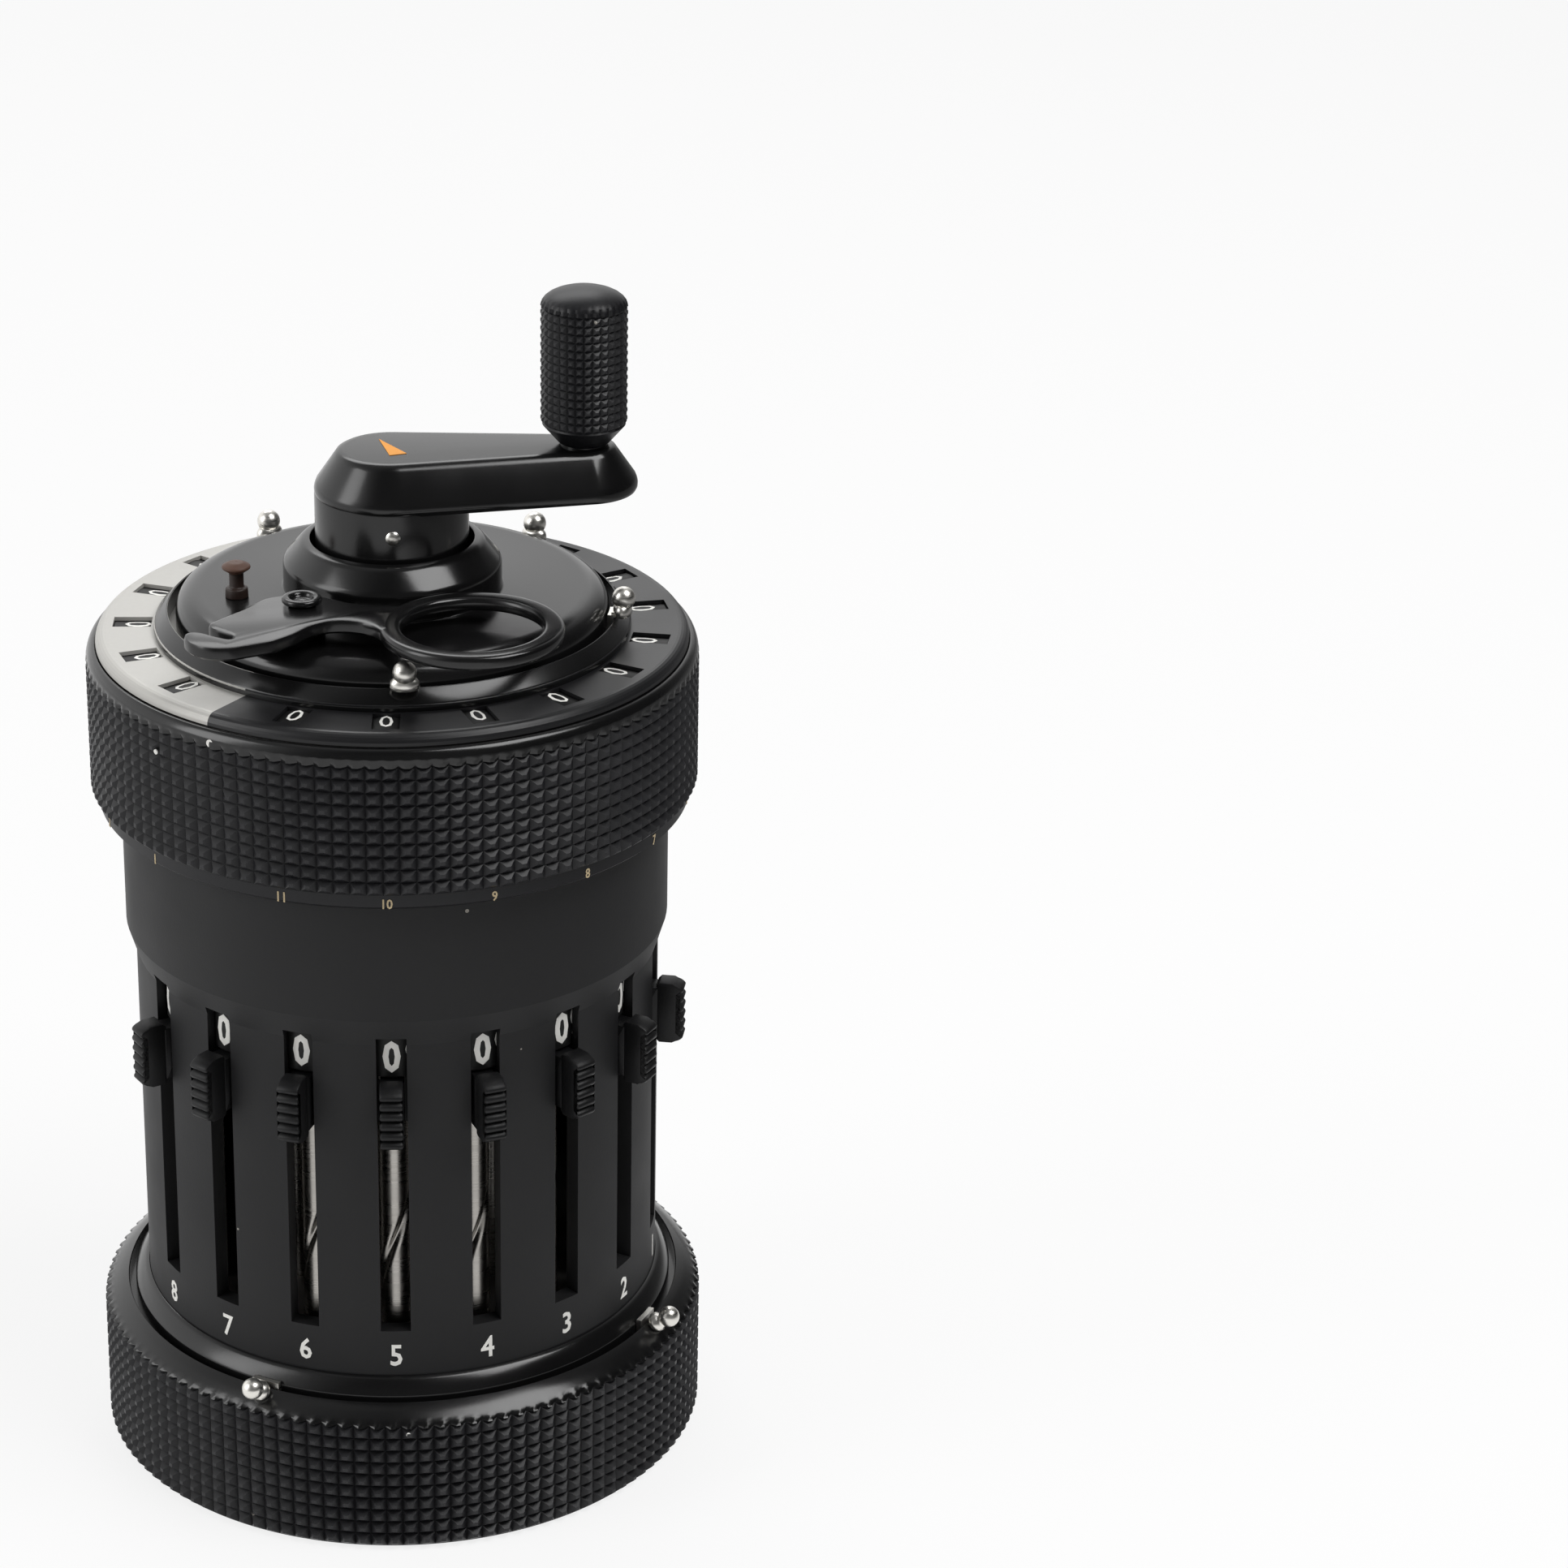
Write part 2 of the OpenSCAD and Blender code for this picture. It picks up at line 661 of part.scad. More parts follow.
// Ratchet wheel that keys on the main shaft and stops the crank turning back
module ratchet_wheel() {
  z = lower_z - run - ratchet_t;
  color("#9a9a9c") difference() {
    translate([0, 0, z]) linear_extrude(ratchet_t) gear_2d(ratchet_r, ratchet_teeth, 0.7, 1);
    post(main_shaft_r + fit, z - eps, z + ratchet_t + eps);
  }
}

// Stepped drum on the main shaft: tooth j is long enough to drive gears set to j or more
module step_drum() {
  color("#a3a4a8") difference() {
    union() {
      post(main_shaft_r, shaft_foot_z, bore_top - 0.1);
      post(drum_root_r, drum_z, drum_z + drum_h);
      for (j = [1:steps])
        at_turn(sector_turn + (j - (steps + 1) / 2) * tooth_pitch)
          slab(drum_root_r - 1, drum_tip_r, tooth_w, drum_z + 0.2, gear_mid_z - (j - 0.5) * digit_step);
    }
    at_turn(hub_pin_turn) along_x(-hub_r, hub_r, hub_pin_z, hub_pin_r + fit);
  }
}

// Round end of the crank arm: an upright edge, then a side that slopes in to the flat top
module sloped_end(r) {
  post(r, arm_z, arm_z + arm_edge);
  translate([0, 0, arm_z + arm_edge]) cylinder(r1 = r, r2 = r - arm_slope, h = arm_h - arm_edge);
}

// Bar between the arm's round ends: a block, cut by two planes that lean in just inside the ends
module arm_bar() {
  lean = atan2(arm_slope, arm_h);
  swing = asin((hub_r - arm_end_r) / crank_l);
  foot = (hub_r - arm_inset) * [sin(swing), cos(swing)];
  difference() {
    slab(0, crank_l, 2 * hub_r, arm_z, arm_top);
    for (side = [0, 1]) mirror([0, side, 0])
      translate([foot[0], foot[1], arm_z]) rotate([0, 0, -swing]) rotate([lean, 0, 0])
        translate([-hub_r, 0, -arm_h]) cube([crank_l + 2 * hub_r, 2 * hub_r, 3 * arm_h]);
  }
}

// Crank: hub, tapering arm with sloped sides, and the pin that carries the grip
module crank_arm() {
  color("#151516") difference() {
    union() {
      at_turn(crank_turn) {
        post(hub_r, hub_low, arm_z + arm_edge / 2);
        sloped_end(hub_r);
        translate([crank_l, 0]) sloped_end(arm_end_r);
        arm_bar();
        translate([crank_l, 0]) post(neck_r, arm_top - eps, grip_z - 0.1);
        translate([crank_l, 0]) post(grip_pin_r, arm_top - eps, grip_z + grip_pin_l);
      }
    }
    post(main_shaft_r + fit, hub_low - eps, bore_top);
    at_turn(hub_pin_turn) along_x(-hub_r - eps, hub_r + eps, hub_pin_z, hub_pin_r + fit);
  }
}

module hub_pin() {
  color("#d4d5d8") at_turn(hub_pin_turn) {
    along_x(-hub_r, hub_pin_reach, hub_pin_z, hub_pin_r);
    translate([hub_pin_reach, 0, hub_pin_z]) sphere(r = hub_pin_r);
  }
}

// Grip: knurled cylinder with a domed top and a tapered foot, free on its pin
module crank_grip() {
  top = grip_z + grip_l;
  color("#1a1a1b") at_turn(crank_turn) translate([crank_l, 0]) difference() {
    rotate_extrude() polygon([
      [0, grip_z], [grip_foot_r, grip_z], [grip_r, grip_z + grip_taper], [grip_r, top - grip_dome - 0.4],
      [grip_r - 0.3, top - grip_dome], [grip_r * 0.75, top - grip_dome * 0.4],
      [grip_r * 0.4, top - grip_dome * 0.1], [0, top]
    ]);
    post(grip_pin_r + fit, grip_z - eps, grip_z + grip_pin_l + 0.3);
  }
}

main_casing();
base_ring();
base_plate();
base_screws();
lower_bearing_plate();
upper_bearing_plate();
transmission_shafts();
carriage_spring();
reversing_lever();
for (i = [1:len(base_marker_turns)])
  base_marker(i);
for (n = [1:slot_count]) setting_knob(n);
for (n = [1:slot_count]) setting_shaft(n);
carriage_ring();
counter_plate();
result_plate();
dial_frame();
for (k = [1:counter_count])
  number_dial(counter_turn(k));
for (k = [1:result_count])
  number_dial(result_turn(k));
top_cover();
cover_pin();
clearing_lever();
for (i = [1:len(marker_turns)])
  register_marker(i);
ratchet_wheel();
step_drum();
crank_arm();
hub_pin();
crank_grip();
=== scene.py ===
# %% [markdown]
# # A mechanical pocket calculator
# The real machine is a black metal cylinder that sits in one hand: sliders on its side set a number, a crank
# on its top adds it, and a knurled carriage shows the result in small windows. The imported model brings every
# piece in its place, so this lesson only adds what a machinist and a painter would add afterwards.

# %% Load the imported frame
import json
import math
from functools import cache

import bmesh
import bpy
import numpy as np
from mathutils import Matrix, Vector


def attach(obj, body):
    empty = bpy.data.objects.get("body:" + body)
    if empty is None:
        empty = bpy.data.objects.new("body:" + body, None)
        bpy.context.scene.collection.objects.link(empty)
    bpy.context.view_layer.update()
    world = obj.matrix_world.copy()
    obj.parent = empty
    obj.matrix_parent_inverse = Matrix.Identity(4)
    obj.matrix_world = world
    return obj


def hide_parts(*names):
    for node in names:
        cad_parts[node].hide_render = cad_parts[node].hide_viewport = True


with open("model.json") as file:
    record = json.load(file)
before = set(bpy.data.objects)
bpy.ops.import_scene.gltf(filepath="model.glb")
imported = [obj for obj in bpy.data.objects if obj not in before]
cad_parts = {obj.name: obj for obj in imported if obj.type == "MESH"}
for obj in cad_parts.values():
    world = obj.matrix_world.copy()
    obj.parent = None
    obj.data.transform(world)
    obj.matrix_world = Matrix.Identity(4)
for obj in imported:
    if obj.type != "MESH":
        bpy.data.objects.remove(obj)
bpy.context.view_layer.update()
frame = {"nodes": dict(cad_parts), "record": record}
nodes = frame["nodes"]
MM = 0.001

# %% [markdown]
# ## Finishes that several materials share
# Painted and machined surfaces are never one flat colour: paint has grain, corners are rubbed, turned steel
# shows the lathe's lines, and a machine of this age carries dust. Each effect could be wired again in every
# material. A node group is built once instead, with named sockets, and each material gives it its own values.

# %% Node helpers
def add(tree, kind, inputs=None, **settings):
    """Adds a node. An input that is a socket is linked, and any other value is set."""
    made = tree.nodes.new(kind)
    for key, value in settings.items():
        setattr(made, key, value)
    for key, value in (inputs or {}).items():
        if isinstance(value, bpy.types.NodeSocket):
            tree.links.new(value, made.inputs[key])
        else:
            made.inputs[key].default_value = value
    return made


def worked(tree, operation, *values):
    """The result of a Math node, whose values are sockets or numbers."""
    return add(tree, "ShaderNodeMath", dict(enumerate(values)), operation=operation).outputs[0]


def ranged(tree, value, source, target, **settings):
    """A value carried from the source range to the target range, and held at its ends."""
    inputs = {0: value, 1: source[0], 2: source[1], 3: target[0], 4: target[1]}
    return add(tree, "ShaderNodeMapRange", inputs, **settings).outputs[0]


def object_place(tree):
    """Where a point lies on its own object, in metres."""
    return add(tree, "ShaderNodeTexCoord").outputs["Object"]


def new_group(name, inputs, outputs):
    """An empty shader group with float sockets. Gives the tree, its input sockets and its output node."""
    tree = bpy.data.node_groups.new(name, "ShaderNodeTree")
    for label, value in inputs.items():
        socket = tree.interface.new_socket(label, in_out="INPUT", socket_type="NodeSocketFloat")
        socket.default_value = value
    for label in outputs:
        tree.interface.new_socket(label, in_out="OUTPUT", socket_type="NodeSocketFloat")
    return tree, tree.nodes.new("NodeGroupInput").outputs, tree.nodes.new("NodeGroupOutput")


print("node helpers ready; groups so far:", len(bpy.data.node_groups))


# %% Paint grain and lathe lines
def paint_grain_group():
    """Fine noise for the bump of sprayed paint, and broad noise for its uneven shade."""
    tree, given, out = new_group("paint_grain", {"Scale": 3000.0, "Patch Scale": 90.0}, ["Height", "Shade"])
    where = object_place(tree)
    fine = add(tree, "ShaderNodeTexNoise", {"Vector": where, "Scale": given["Scale"], "Detail": 3.0})
    broad = add(tree, "ShaderNodeTexNoise", {"Vector": where, "Scale": given["Patch Scale"], "Detail": 4.0})
    tree.links.new(fine.outputs["Fac"], out.inputs["Height"])
    tree.links.new(broad.outputs["Fac"], out.inputs["Shade"])
    return tree


def lathe_lines_group():
    """Noise squeezed along the axis, so that it makes the fine rings of a turned surface."""
    tree, given, out = new_group("lathe_lines", {"Along": 9000.0, "Across": 120.0}, ["Height"])
    squeeze = add(tree, "ShaderNodeCombineXYZ", {0: given["Across"], 1: given["Across"], 2: given["Along"]})
    scaled = add(tree, "ShaderNodeVectorMath", {0: object_place(tree), 1: squeeze.outputs[0]},
                 operation="MULTIPLY")
    rings = add(tree, "ShaderNodeTexNoise", {"Vector": scaled.outputs[0], "Scale": 1.0, "Detail": 2.0})
    tree.links.new(rings.outputs["Fac"], out.inputs["Height"])
    return tree


paint_grain, lathe_lines = paint_grain_group(), lathe_lines_group()
print("node groups:", paint_grain.name, "and", lathe_lines.name)

# %% Dust and rubbed tips
SPECK_R = 0.08


def dust_group():
    """Small round specks: Voronoi cells whose centre is near, thinned out by the cells' own colour."""
    tree, given, out = new_group("dust_specks", {"Scale": 420.0, "Amount": 0.5}, ["Mask"])
    cells = add(tree, "ShaderNodeTexVoronoi", {"Vector": object_place(tree), "Scale": given["Scale"]}).outputs
    near = worked(tree, "LESS_THAN", cells["Distance"], SPECK_R)
    chance = add(tree, "ShaderNodeSeparateColor", {0: cells["Color"]}).outputs[0]
    chosen = worked(tree, "LESS_THAN", chance, given["Amount"])
    tree.links.new(worked(tree, "MULTIPLY", near, chosen), out.inputs["Mask"])
    return tree


def rubbed_group():
    """Where hands have rubbed the paint: the piece's own 'rub' attribute, broken up by noise."""
    tree, given, out = new_group("rubbed_tips", {"Amount": 0.5, "Scale": 260.0}, ["Mask"])
    rub = add(tree, "ShaderNodeAttribute", attribute_name="rub").outputs["Fac"]
    patches = add(tree, "ShaderNodeTexNoise",
                  {"Vector": object_place(tree), "Scale": given["Scale"], "Detail": 3.0}).outputs["Fac"]
    broken = worked(tree, "MULTIPLY", rub, patches)
    tree.links.new(worked(tree, "MULTIPLY", broken, given["Amount"]), out.inputs["Mask"])
    return tree


dust_specks, rubbed_tips = dust_group(), rubbed_group()
print("node groups:", dust_specks.name, "and", rubbed_tips.name)

# %% [markdown]
# ## Materials
# Most of the machine is black, and the eye tells its pieces apart by gloss alone: matte enamel on the case,
# satin on the knurls, deep gloss on the cover and crank. Each could be a plain colour, but flat black looks
# like plastic. One function makes every enamel and another every metal, so that all of them wander in shade
# and roughness, and only the values that tell them apart are listed.

# %% Steps that every material takes
NOISE_RANGE = (0.3, 0.7)
RELIEF_DEPTH = 0.0001


def start_material(name):
    """A new material with an untouched Principled shader. Gives the material, its tree and the shader."""
    made = bpy.data.materials.new(name)
    made.use_nodes = True
    return made, made.node_tree, made.node_tree.nodes["Principled BSDF"]


def toned(colour, gain, lift=0.0):
    """A colour times the gain plus the lift, with full alpha, as a colour socket takes it."""
    return [c * gain + lift for c in colour] + [1.0]


def mixed(tree, factor, a, b):
    """Colour a turning into colour b as the factor goes from 0 to 1."""
    return add(tree, "ShaderNodeMix", {0: factor, 6: a, 7: b}, data_type="RGBA").outputs[2]


def wander(tree, shader, noise, low, high):
    """Roughness that follows noise, whose middle range is stretched to run from low to high."""
    tree.links.new(ranged(tree, noise, NOISE_RANGE, (low, high)), shader.inputs["Roughness"])


def relief(tree, shader, height, strength):
    """A height pattern that tilts the surface's normals, as grain and lathe lines do."""
    bump = add(tree, "ShaderNodeBump", {"Height": height, "Strength": strength, "Distance": RELIEF_DEPTH})
    tree.links.new(bump.outputs[0], shader.inputs["Normal"])


print("material helpers ready; relief is", RELIEF_DEPTH / MM, "mm deep at full strength")

# %% Enamels
DUST = (0.30, 0.28, 0.25, 1.0)
SHADE_LOW, SHADE_HIGH, RUBBED_GAIN, RUBBED_LIFT = 0.75, 1.3, 3, 0.05
MOTTLED = dict(bump=0.3, grain=1500.0, dust=0.1)


def enamel(name, colour, rough, specular, bump=0.04, grain=3000.0, dust=0.03, worn=0.0):
    """Paint on metal: shade and roughness wander a little, with fine grain, stray dust and rubbed tips."""
    made, tree, shader = start_material(name)
    paint = add(tree, "ShaderNodeGroup", {"Scale": grain}, node_tree=paint_grain).outputs
    specks = add(tree, "ShaderNodeGroup", {"Amount": dust}, node_tree=dust_specks).outputs
    tips = add(tree, "ShaderNodeGroup", {"Amount": worn}, node_tree=rubbed_tips).outputs
    base = mixed(tree, paint["Shade"], toned(colour, SHADE_LOW), toned(colour, SHADE_HIGH))
    rubbed = mixed(tree, tips["Mask"], base, toned(colour, RUBBED_GAIN, RUBBED_LIFT))
    tree.links.new(mixed(tree, specks["Mask"], rubbed, DUST), shader.inputs["Base Color"])
    wander(tree, shader, paint["Shade"], rough - 0.05, rough + 0.07)
    relief(tree, shader, paint["Height"], bump)
    shader.inputs["Specular IOR Level"].default_value = specular
    return made


ENAMELS = {
    "case_black": dict(colour=(0.012, 0.012, 0.0128), rough=0.55, specular=0.28, bump=0.10, grain=5000.0),
    "knurl_black": dict(colour=(0.008, 0.008, 0.0095), rough=0.40, specular=0.30, dust=0.02, worn=0.35),
    "gloss_black": dict(colour=(0.006, 0.006, 0.0062), rough=0.18, specular=0.50, bump=0.02, dust=0.02),
    "knob_black": dict(colour=(0.006, 0.006, 0.0065), rough=0.45, specular=0.30, bump=0.10),
    "register_black": dict(colour=(0.012, 0.012, 0.013), rough=0.34, specular=0.40),
    "dial_black": dict(colour=(0.010, 0.010, 0.010), rough=0.50, specular=0.30, dust=0.02),
    "pin_brown": dict(colour=(0.022, 0.012, 0.009), rough=0.42, specular=0.40, **MOTTLED),
    "paint_white": dict(colour=(0.90, 0.89, 0.85), rough=0.55, specular=0.25, dust=0.0),
    "paint_gold": dict(colour=(0.55, 0.44, 0.27), rough=0.50, specular=0.30, dust=0.0),
    # A lighter copy of the pin's brown for the cover pin's head: painted light on its lit top.
    "pin_head_lit_brown": dict(colour=(0.085, 0.042, 0.028), rough=0.45, specular=0.35, **MOTTLED),
    "paint_orange": dict(colour=(0.78, 0.33, 0.06), rough=0.55, specular=0.25, dust=0.0),
}
materials = {name: enamel(name, **values) for name, values in ENAMELS.items()}
print("enamels:", list(materials))


# %% Metals
def metal(name, colour, rough, along=9000.0, bump=0.06, tint=0.75):
    """Bare metal with the lathe's lines in its relief and roughness, and a duller tone in broad patches."""
    made, tree, shader = start_material(name)
    lines = add(tree, "ShaderNodeGroup", {"Along": along}, node_tree=lathe_lines).outputs
    patches = add(tree, "ShaderNodeGroup", node_tree=paint_grain).outputs
    tone = mixed(tree, patches["Shade"], toned(colour, tint), toned(colour, 1))
    tree.links.new(tone, shader.inputs["Base Color"])
    wander(tree, shader, lines["Height"], rough - 0.06, rough + 0.10)
    relief(tree, shader, lines["Height"], bump)
    shader.inputs["Metallic"].default_value = 1.0
    return made


METALS = {
    "steel": dict(colour=(0.48, 0.46, 0.43), rough=0.30),
    "bearing_metal": dict(colour=(0.42, 0.41, 0.40), rough=0.42, along=4000.0),
    "marker_silver": dict(colour=(0.84, 0.82, 0.77), rough=0.30, along=5000.0, bump=0.03, tint=0.9),
}
materials.update({name: metal(name, **values) for name, values in METALS.items()})
print("metals:", list(METALS))

# %% Pale plate, and the materials of the nodes
PALE, PALE_GRAIN, PALE_TINT, PALE_METAL, PALE_BUMP = (0.54, 0.53, 0.50), 2500.0, 0.94, 0.15, 0.05
PALE_ROUGH = (0.36, 0.46)


def pale_plate(name):
    """Satin aluminium that is nearly white: mostly lacquer, a little metal, with broad faint clouding."""
    made, tree, shader = start_material(name)
    texture = add(tree, "ShaderNodeGroup", {"Scale": PALE_GRAIN}, node_tree=paint_grain).outputs
    tone = mixed(tree, texture["Shade"], toned(PALE, PALE_TINT), toned(PALE, 1))
    tree.links.new(tone, shader.inputs["Base Color"])
    wander(tree, shader, texture["Height"], *PALE_ROUGH)
    relief(tree, shader, texture["Height"], PALE_BUMP)
    shader.inputs["Metallic"].default_value = PALE_METAL
    return made


materials["register_white"] = pale_plate("register_white")
for part in frame["record"]["subparts"]:
    skin = nodes[part["node"]].data.materials
    skin.clear()
    skin.append(materials[part["material_slot"]])
print("materials:", len(materials), "of which every node has one")

# %% [markdown]
# ## Surfaces from formulas
# A turned piece is a profile carried round an axis, and a plate is a profile carried round an outline. Both
# could be made by hand with Spin and Bevel, and would be hard to change. As formulas they are grids of
# points, so one function joins neighbours into faces and another puts the grid into a mesh. Whole arrays keep
# it short and fast, and millimetres keep the numbers readable.

# %% Grids and lathes
SIDE_SHARE = 0.49


def grid(*columns):
    """Points in a row from their coordinates, each spread over the same grid."""
    return np.stack(np.broadcast_arrays(*columns), -1).reshape(-1, len(columns))


def grid_faces(rows, cols, wrap_rows=False):
    """Quads between neighbouring points of a grid whose columns go round. Wrapped rows go round too."""
    i, j = np.meshgrid(np.arange(rows - (not wrap_rows)), np.arange(cols), indexing="ij")
    next_i, next_j = (i + 1) % rows, (j + 1) % cols
    return grid(i * cols + j, i * cols + next_j, next_i * cols + next_j, next_i * cols + j)


def eased(corners, radius, steps=4):
    """Closed profile whose corners are rounded. Near corner C it runs (1-t)^2 A + 2t(1-t) C + t^2 B, where A
    and B lie on the two sides, the radius away from C or just under half the shorter side. The radius is one
    number, or one for each corner."""
    c = np.asarray(corners, float)
    back, ahead = np.roll(c, 1, 0) - c, np.roll(c, -1, 0) - c
    back_len = np.linalg.norm(back, axis=1)
    ahead_len = np.linalg.norm(ahead, axis=1)
    reach = np.minimum(radius, SIDE_SHARE * np.minimum(back_len, ahead_len))
    a = (c + back * (reach / back_len)[:, None])[:, None]
    b = (c + ahead * (reach / ahead_len)[:, None])[:, None]
    t = np.linspace(0, 1, steps)[None, :, None]
    return ((1 - t) ** 2 * a + 2 * t * (1 - t) * c[:, None] + t ** 2 * b).reshape(-1, 2)


def turned(profile, sides=128, closed=True):
    """Lathe surface: profile point (r, z) at angle a lies at (r cos a, r sin a, z)."""
    r, z = np.asarray(profile, float).T
    a = np.linspace(0, 2 * np.pi, sides, endpoint=False)
    points = grid(np.outer(r, np.cos(a)), np.outer(r, np.sin(a)), z[:, None])
    return points, grid_faces(len(r), sides, wrap_rows=closed).tolist()


def arc_rows(r0, z0, r1, z1, count=9):
    """Rows of a rounded shoulder: a quarter of an ellipse from (r0, z0), upright, to (r1, z1), level."""
    t = np.linspace(0, np.pi / 2, count)
    return grid(r1 + (r0 - r1) * np.cos(t), z0 + (z1 - z0) * np.sin(t))


print("a square turned through 8 sides:", len(turned([(1, 0), (2, 0), (2, 1), (1, 1)], 8)[1]), "faces")


# %% Plates and places
def capped_faces(rows, cols):
    """Faces of a grid whose first and last rows are closed with flat faces."""
    ends = [list(range(cols))[::-1], list(range((rows - 1) * cols, rows * cols))]
    return grid_faces(rows, cols).tolist() + ends


def plate(outline, profile):
    """An outline carried up through heights: each profile row (inset, z) moves it in along its normals."""
    p = np.asarray(outline, float)
    along = np.roll(p, -1, 0) - np.roll(p, 1, 0)
    normal = grid(along[:, 1], -along[:, 0]) / np.linalg.norm(along, axis=1)[:, None]
    inset, z = np.asarray(profile, float).T[:, :, None]
    points = grid(p[:, 0] - inset * normal[:, 0], p[:, 1] - inset * normal[:, 1], z)
    return points, capped_faces(len(z), len(p))


def join(*shells):
    """Several shells as one: their points in a row, their faces renumbered to match."""
    starts = np.cumsum([0] + [len(points) for points, faces in shells])
    joined = [[i + s for i in face] for (points, faces), s in zip(shells, starts) for face in faces]
    return np.concatenate([points for points, faces in shells]), joined


def at_turn(shell, turn):
    """A shell drawn with +X outwards, swung to its turn from the front towards the right."""
    a = math.radians(turn - 90)
    swing = np.array([[math.cos(a), math.sin(a), 0], [-math.sin(a), math.cos(a), 0], [0, 0, 1]])
    return shell[0] @ swing, shell[1]


def shifted(shell, x=0.0, y=0.0, z=0.0):
    """A shell moved sideways or up."""
    return shell[0] + np.array([x, y, z]), shell[1]


def polar(dist, turn):
    """Point at a distance from the axis, at a turn from the front towards the right."""
    a = math.radians(turn)
    return np.array([dist * math.sin(a), -dist * math.cos(a)])


print("a point 1 mm from the axis, a quarter turn to the right:", polar(1.0, 90.0).round(3))

# %% Shells into pieces
MERGE_REACH = 1e-7


def in_scene(name, data):
    """A new object of the scene that holds the data."""
    made = bpy.data.objects.new(name, data)
    bpy.context.scene.collection.objects.link(made)
    return made


def read_all(items, key, width=1, kind=float):
    """One property of all items as an array, with a row for each item where it has more than one number."""
    values = np.empty(len(items) * width, kind)
    items.foreach_get(key, values)
    return values if width == 1 else values.reshape(-1, width)


def merge_doubles(mesh, reach):
    """Joins the points that lie within reach of each other, and turns every face outwards."""
    work = bmesh.new()
    work.from_mesh(mesh)
    bmesh.ops.remove_doubles(work, verts=work.verts, dist=reach)
    bmesh.ops.recalc_face_normals(work, faces=work.faces)
    work.to_mesh(mesh)
    work.free()


def make_piece(name, shell, body, finish, replaces=(), crease=35.0, rub=None, merge=False, above=None):
    """Puts a shell, in millimetres, into a mesh object at the origin that rides on a body. Where above is
    (height, finish), the faces over that height get the second finish."""
    points, faces = shell
    mesh = bpy.data.meshes.new(name)
    mesh.from_pydata((points * MM).tolist(), [], faces)
    if rub is not None:
        worn = mesh.attributes.new("rub", "FLOAT", "POINT")
        worn.data.foreach_set("value", rub.astype(np.float32).ravel())
    if merge:
        merge_doubles(mesh, MERGE_REACH)
    mesh.shade_smooth()
    mesh.set_sharp_from_angle(angle=math.radians(crease))
    mesh.materials.append(materials[finish])
    if above:
        mesh.materials.append(materials[above[1]])
        over = read_all(mesh.polygons, "center", 3)[:, 2] > above[0] * MM
        mesh.polygons.foreach_set("material_index", over.astype(np.int32))
    piece = in_scene(name, mesh)
    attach(piece, body)
    if replaces:
        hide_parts(*replaces)


# %% [markdown]
# ## Knurled rings
# The carriage and the base are gripped by rows of small square pyramids, cut by a wheel that leaves straight
# grooves both ways. A bump texture could draw them, but it would go flat at the outline, so the teeth are
# geometry. Radius is a function of angle and height: a tooth's height is the smaller of two waves, one along
# each groove.

# %% Knurl surface
TIP_FROM, TIP_TO = 0.36, 0.64


def square_teeth(columns, rows):
    """Blunt pyramids, whose height is min(wave of u, wave of v): 0 in the grooves and 1 on the flat tips, at
    three samples a tooth each way. Gives u, v, the heights, which quads are split along their other diagonal,
    and the wave of u alone."""
    step, lift = np.array([0.0, TIP_FROM, TIP_TO]), np.array([0.0, 1.0, 1.0])
    u = (np.arange(columns)[:, None] + step).ravel() / columns
    v = np.append((np.arange(rows)[:, None] + step).ravel(), rows) / rows
    wave_u, wave_v = np.tile(lift, columns), np.append(np.tile(lift, rows), 0.0)
    i, j = np.indices((len(v) - 1, len(u))) % len(step)
    crossed = ((i == 0) & (j == 2)) | ((i == 2) & (j == 0))
    return u, v, np.minimum(wave_v[:, None], wave_u[None]), crossed, wave_u


def knurled_ring(teeth, radius, depth, low, high, below, above, run_out=9.0):
    """Ring whose outside is the teeth between two heights, with plain profile rows (r, z) below and above.
    Rows above are min(r, groove radius), where the groove gets shallower to nothing over the run-out height,
    so upright grooves end as small triangles in the shoulder. The profile closes on itself."""
    u, v, height, crossed, edge = teeth
    below, above = np.asarray(below, float), np.asarray(above, float)
    z = np.concatenate([below[:, 1], low + v * (high - low), above[:, 1]])
    plain = np.ones(len(u))
    tooth = radius - depth * (1 - height)
    fade = np.clip(1 - (above[:, 1:] - high) / run_out, 0, 1)
    top = np.minimum(above[:, :1] * plain, radius - depth * (1 - edge) * fade)
    r = np.concatenate([below[:, :1] * plain, tooth, top])
    a = 2 * np.pi * u
    points = grid(r * np.cos(a), r * np.sin(a), z[:, None])
    quads = grid_faces(len(z), len(u), wrap_rows=True).reshape(len(z), len(u), 4)
    start, end = len(below), len(below) + len(v) - 1
    zone = quads[start:end].reshape(-1, 4)
    cut = crossed.reshape(-1, 1)
    first = np.where(cut, zone[:, [0, 1, 3]], zone[:, [0, 1, 2]])
    second = np.where(cut, zone[:, [1, 2, 3]], zone[:, [0, 2, 3]])
    plain_quads = np.concatenate([quads[:start], quads[end:]]).reshape(-1, 4)
    faces = plain_quads.tolist() + first.tolist() + second.tolist()
    rub = np.pad(height, ((len(below), len(above)), (0, 0)))
    return (points, faces), rub


print("one tooth of a knurl has", square_teeth(1, 1)[2].size, "samples")

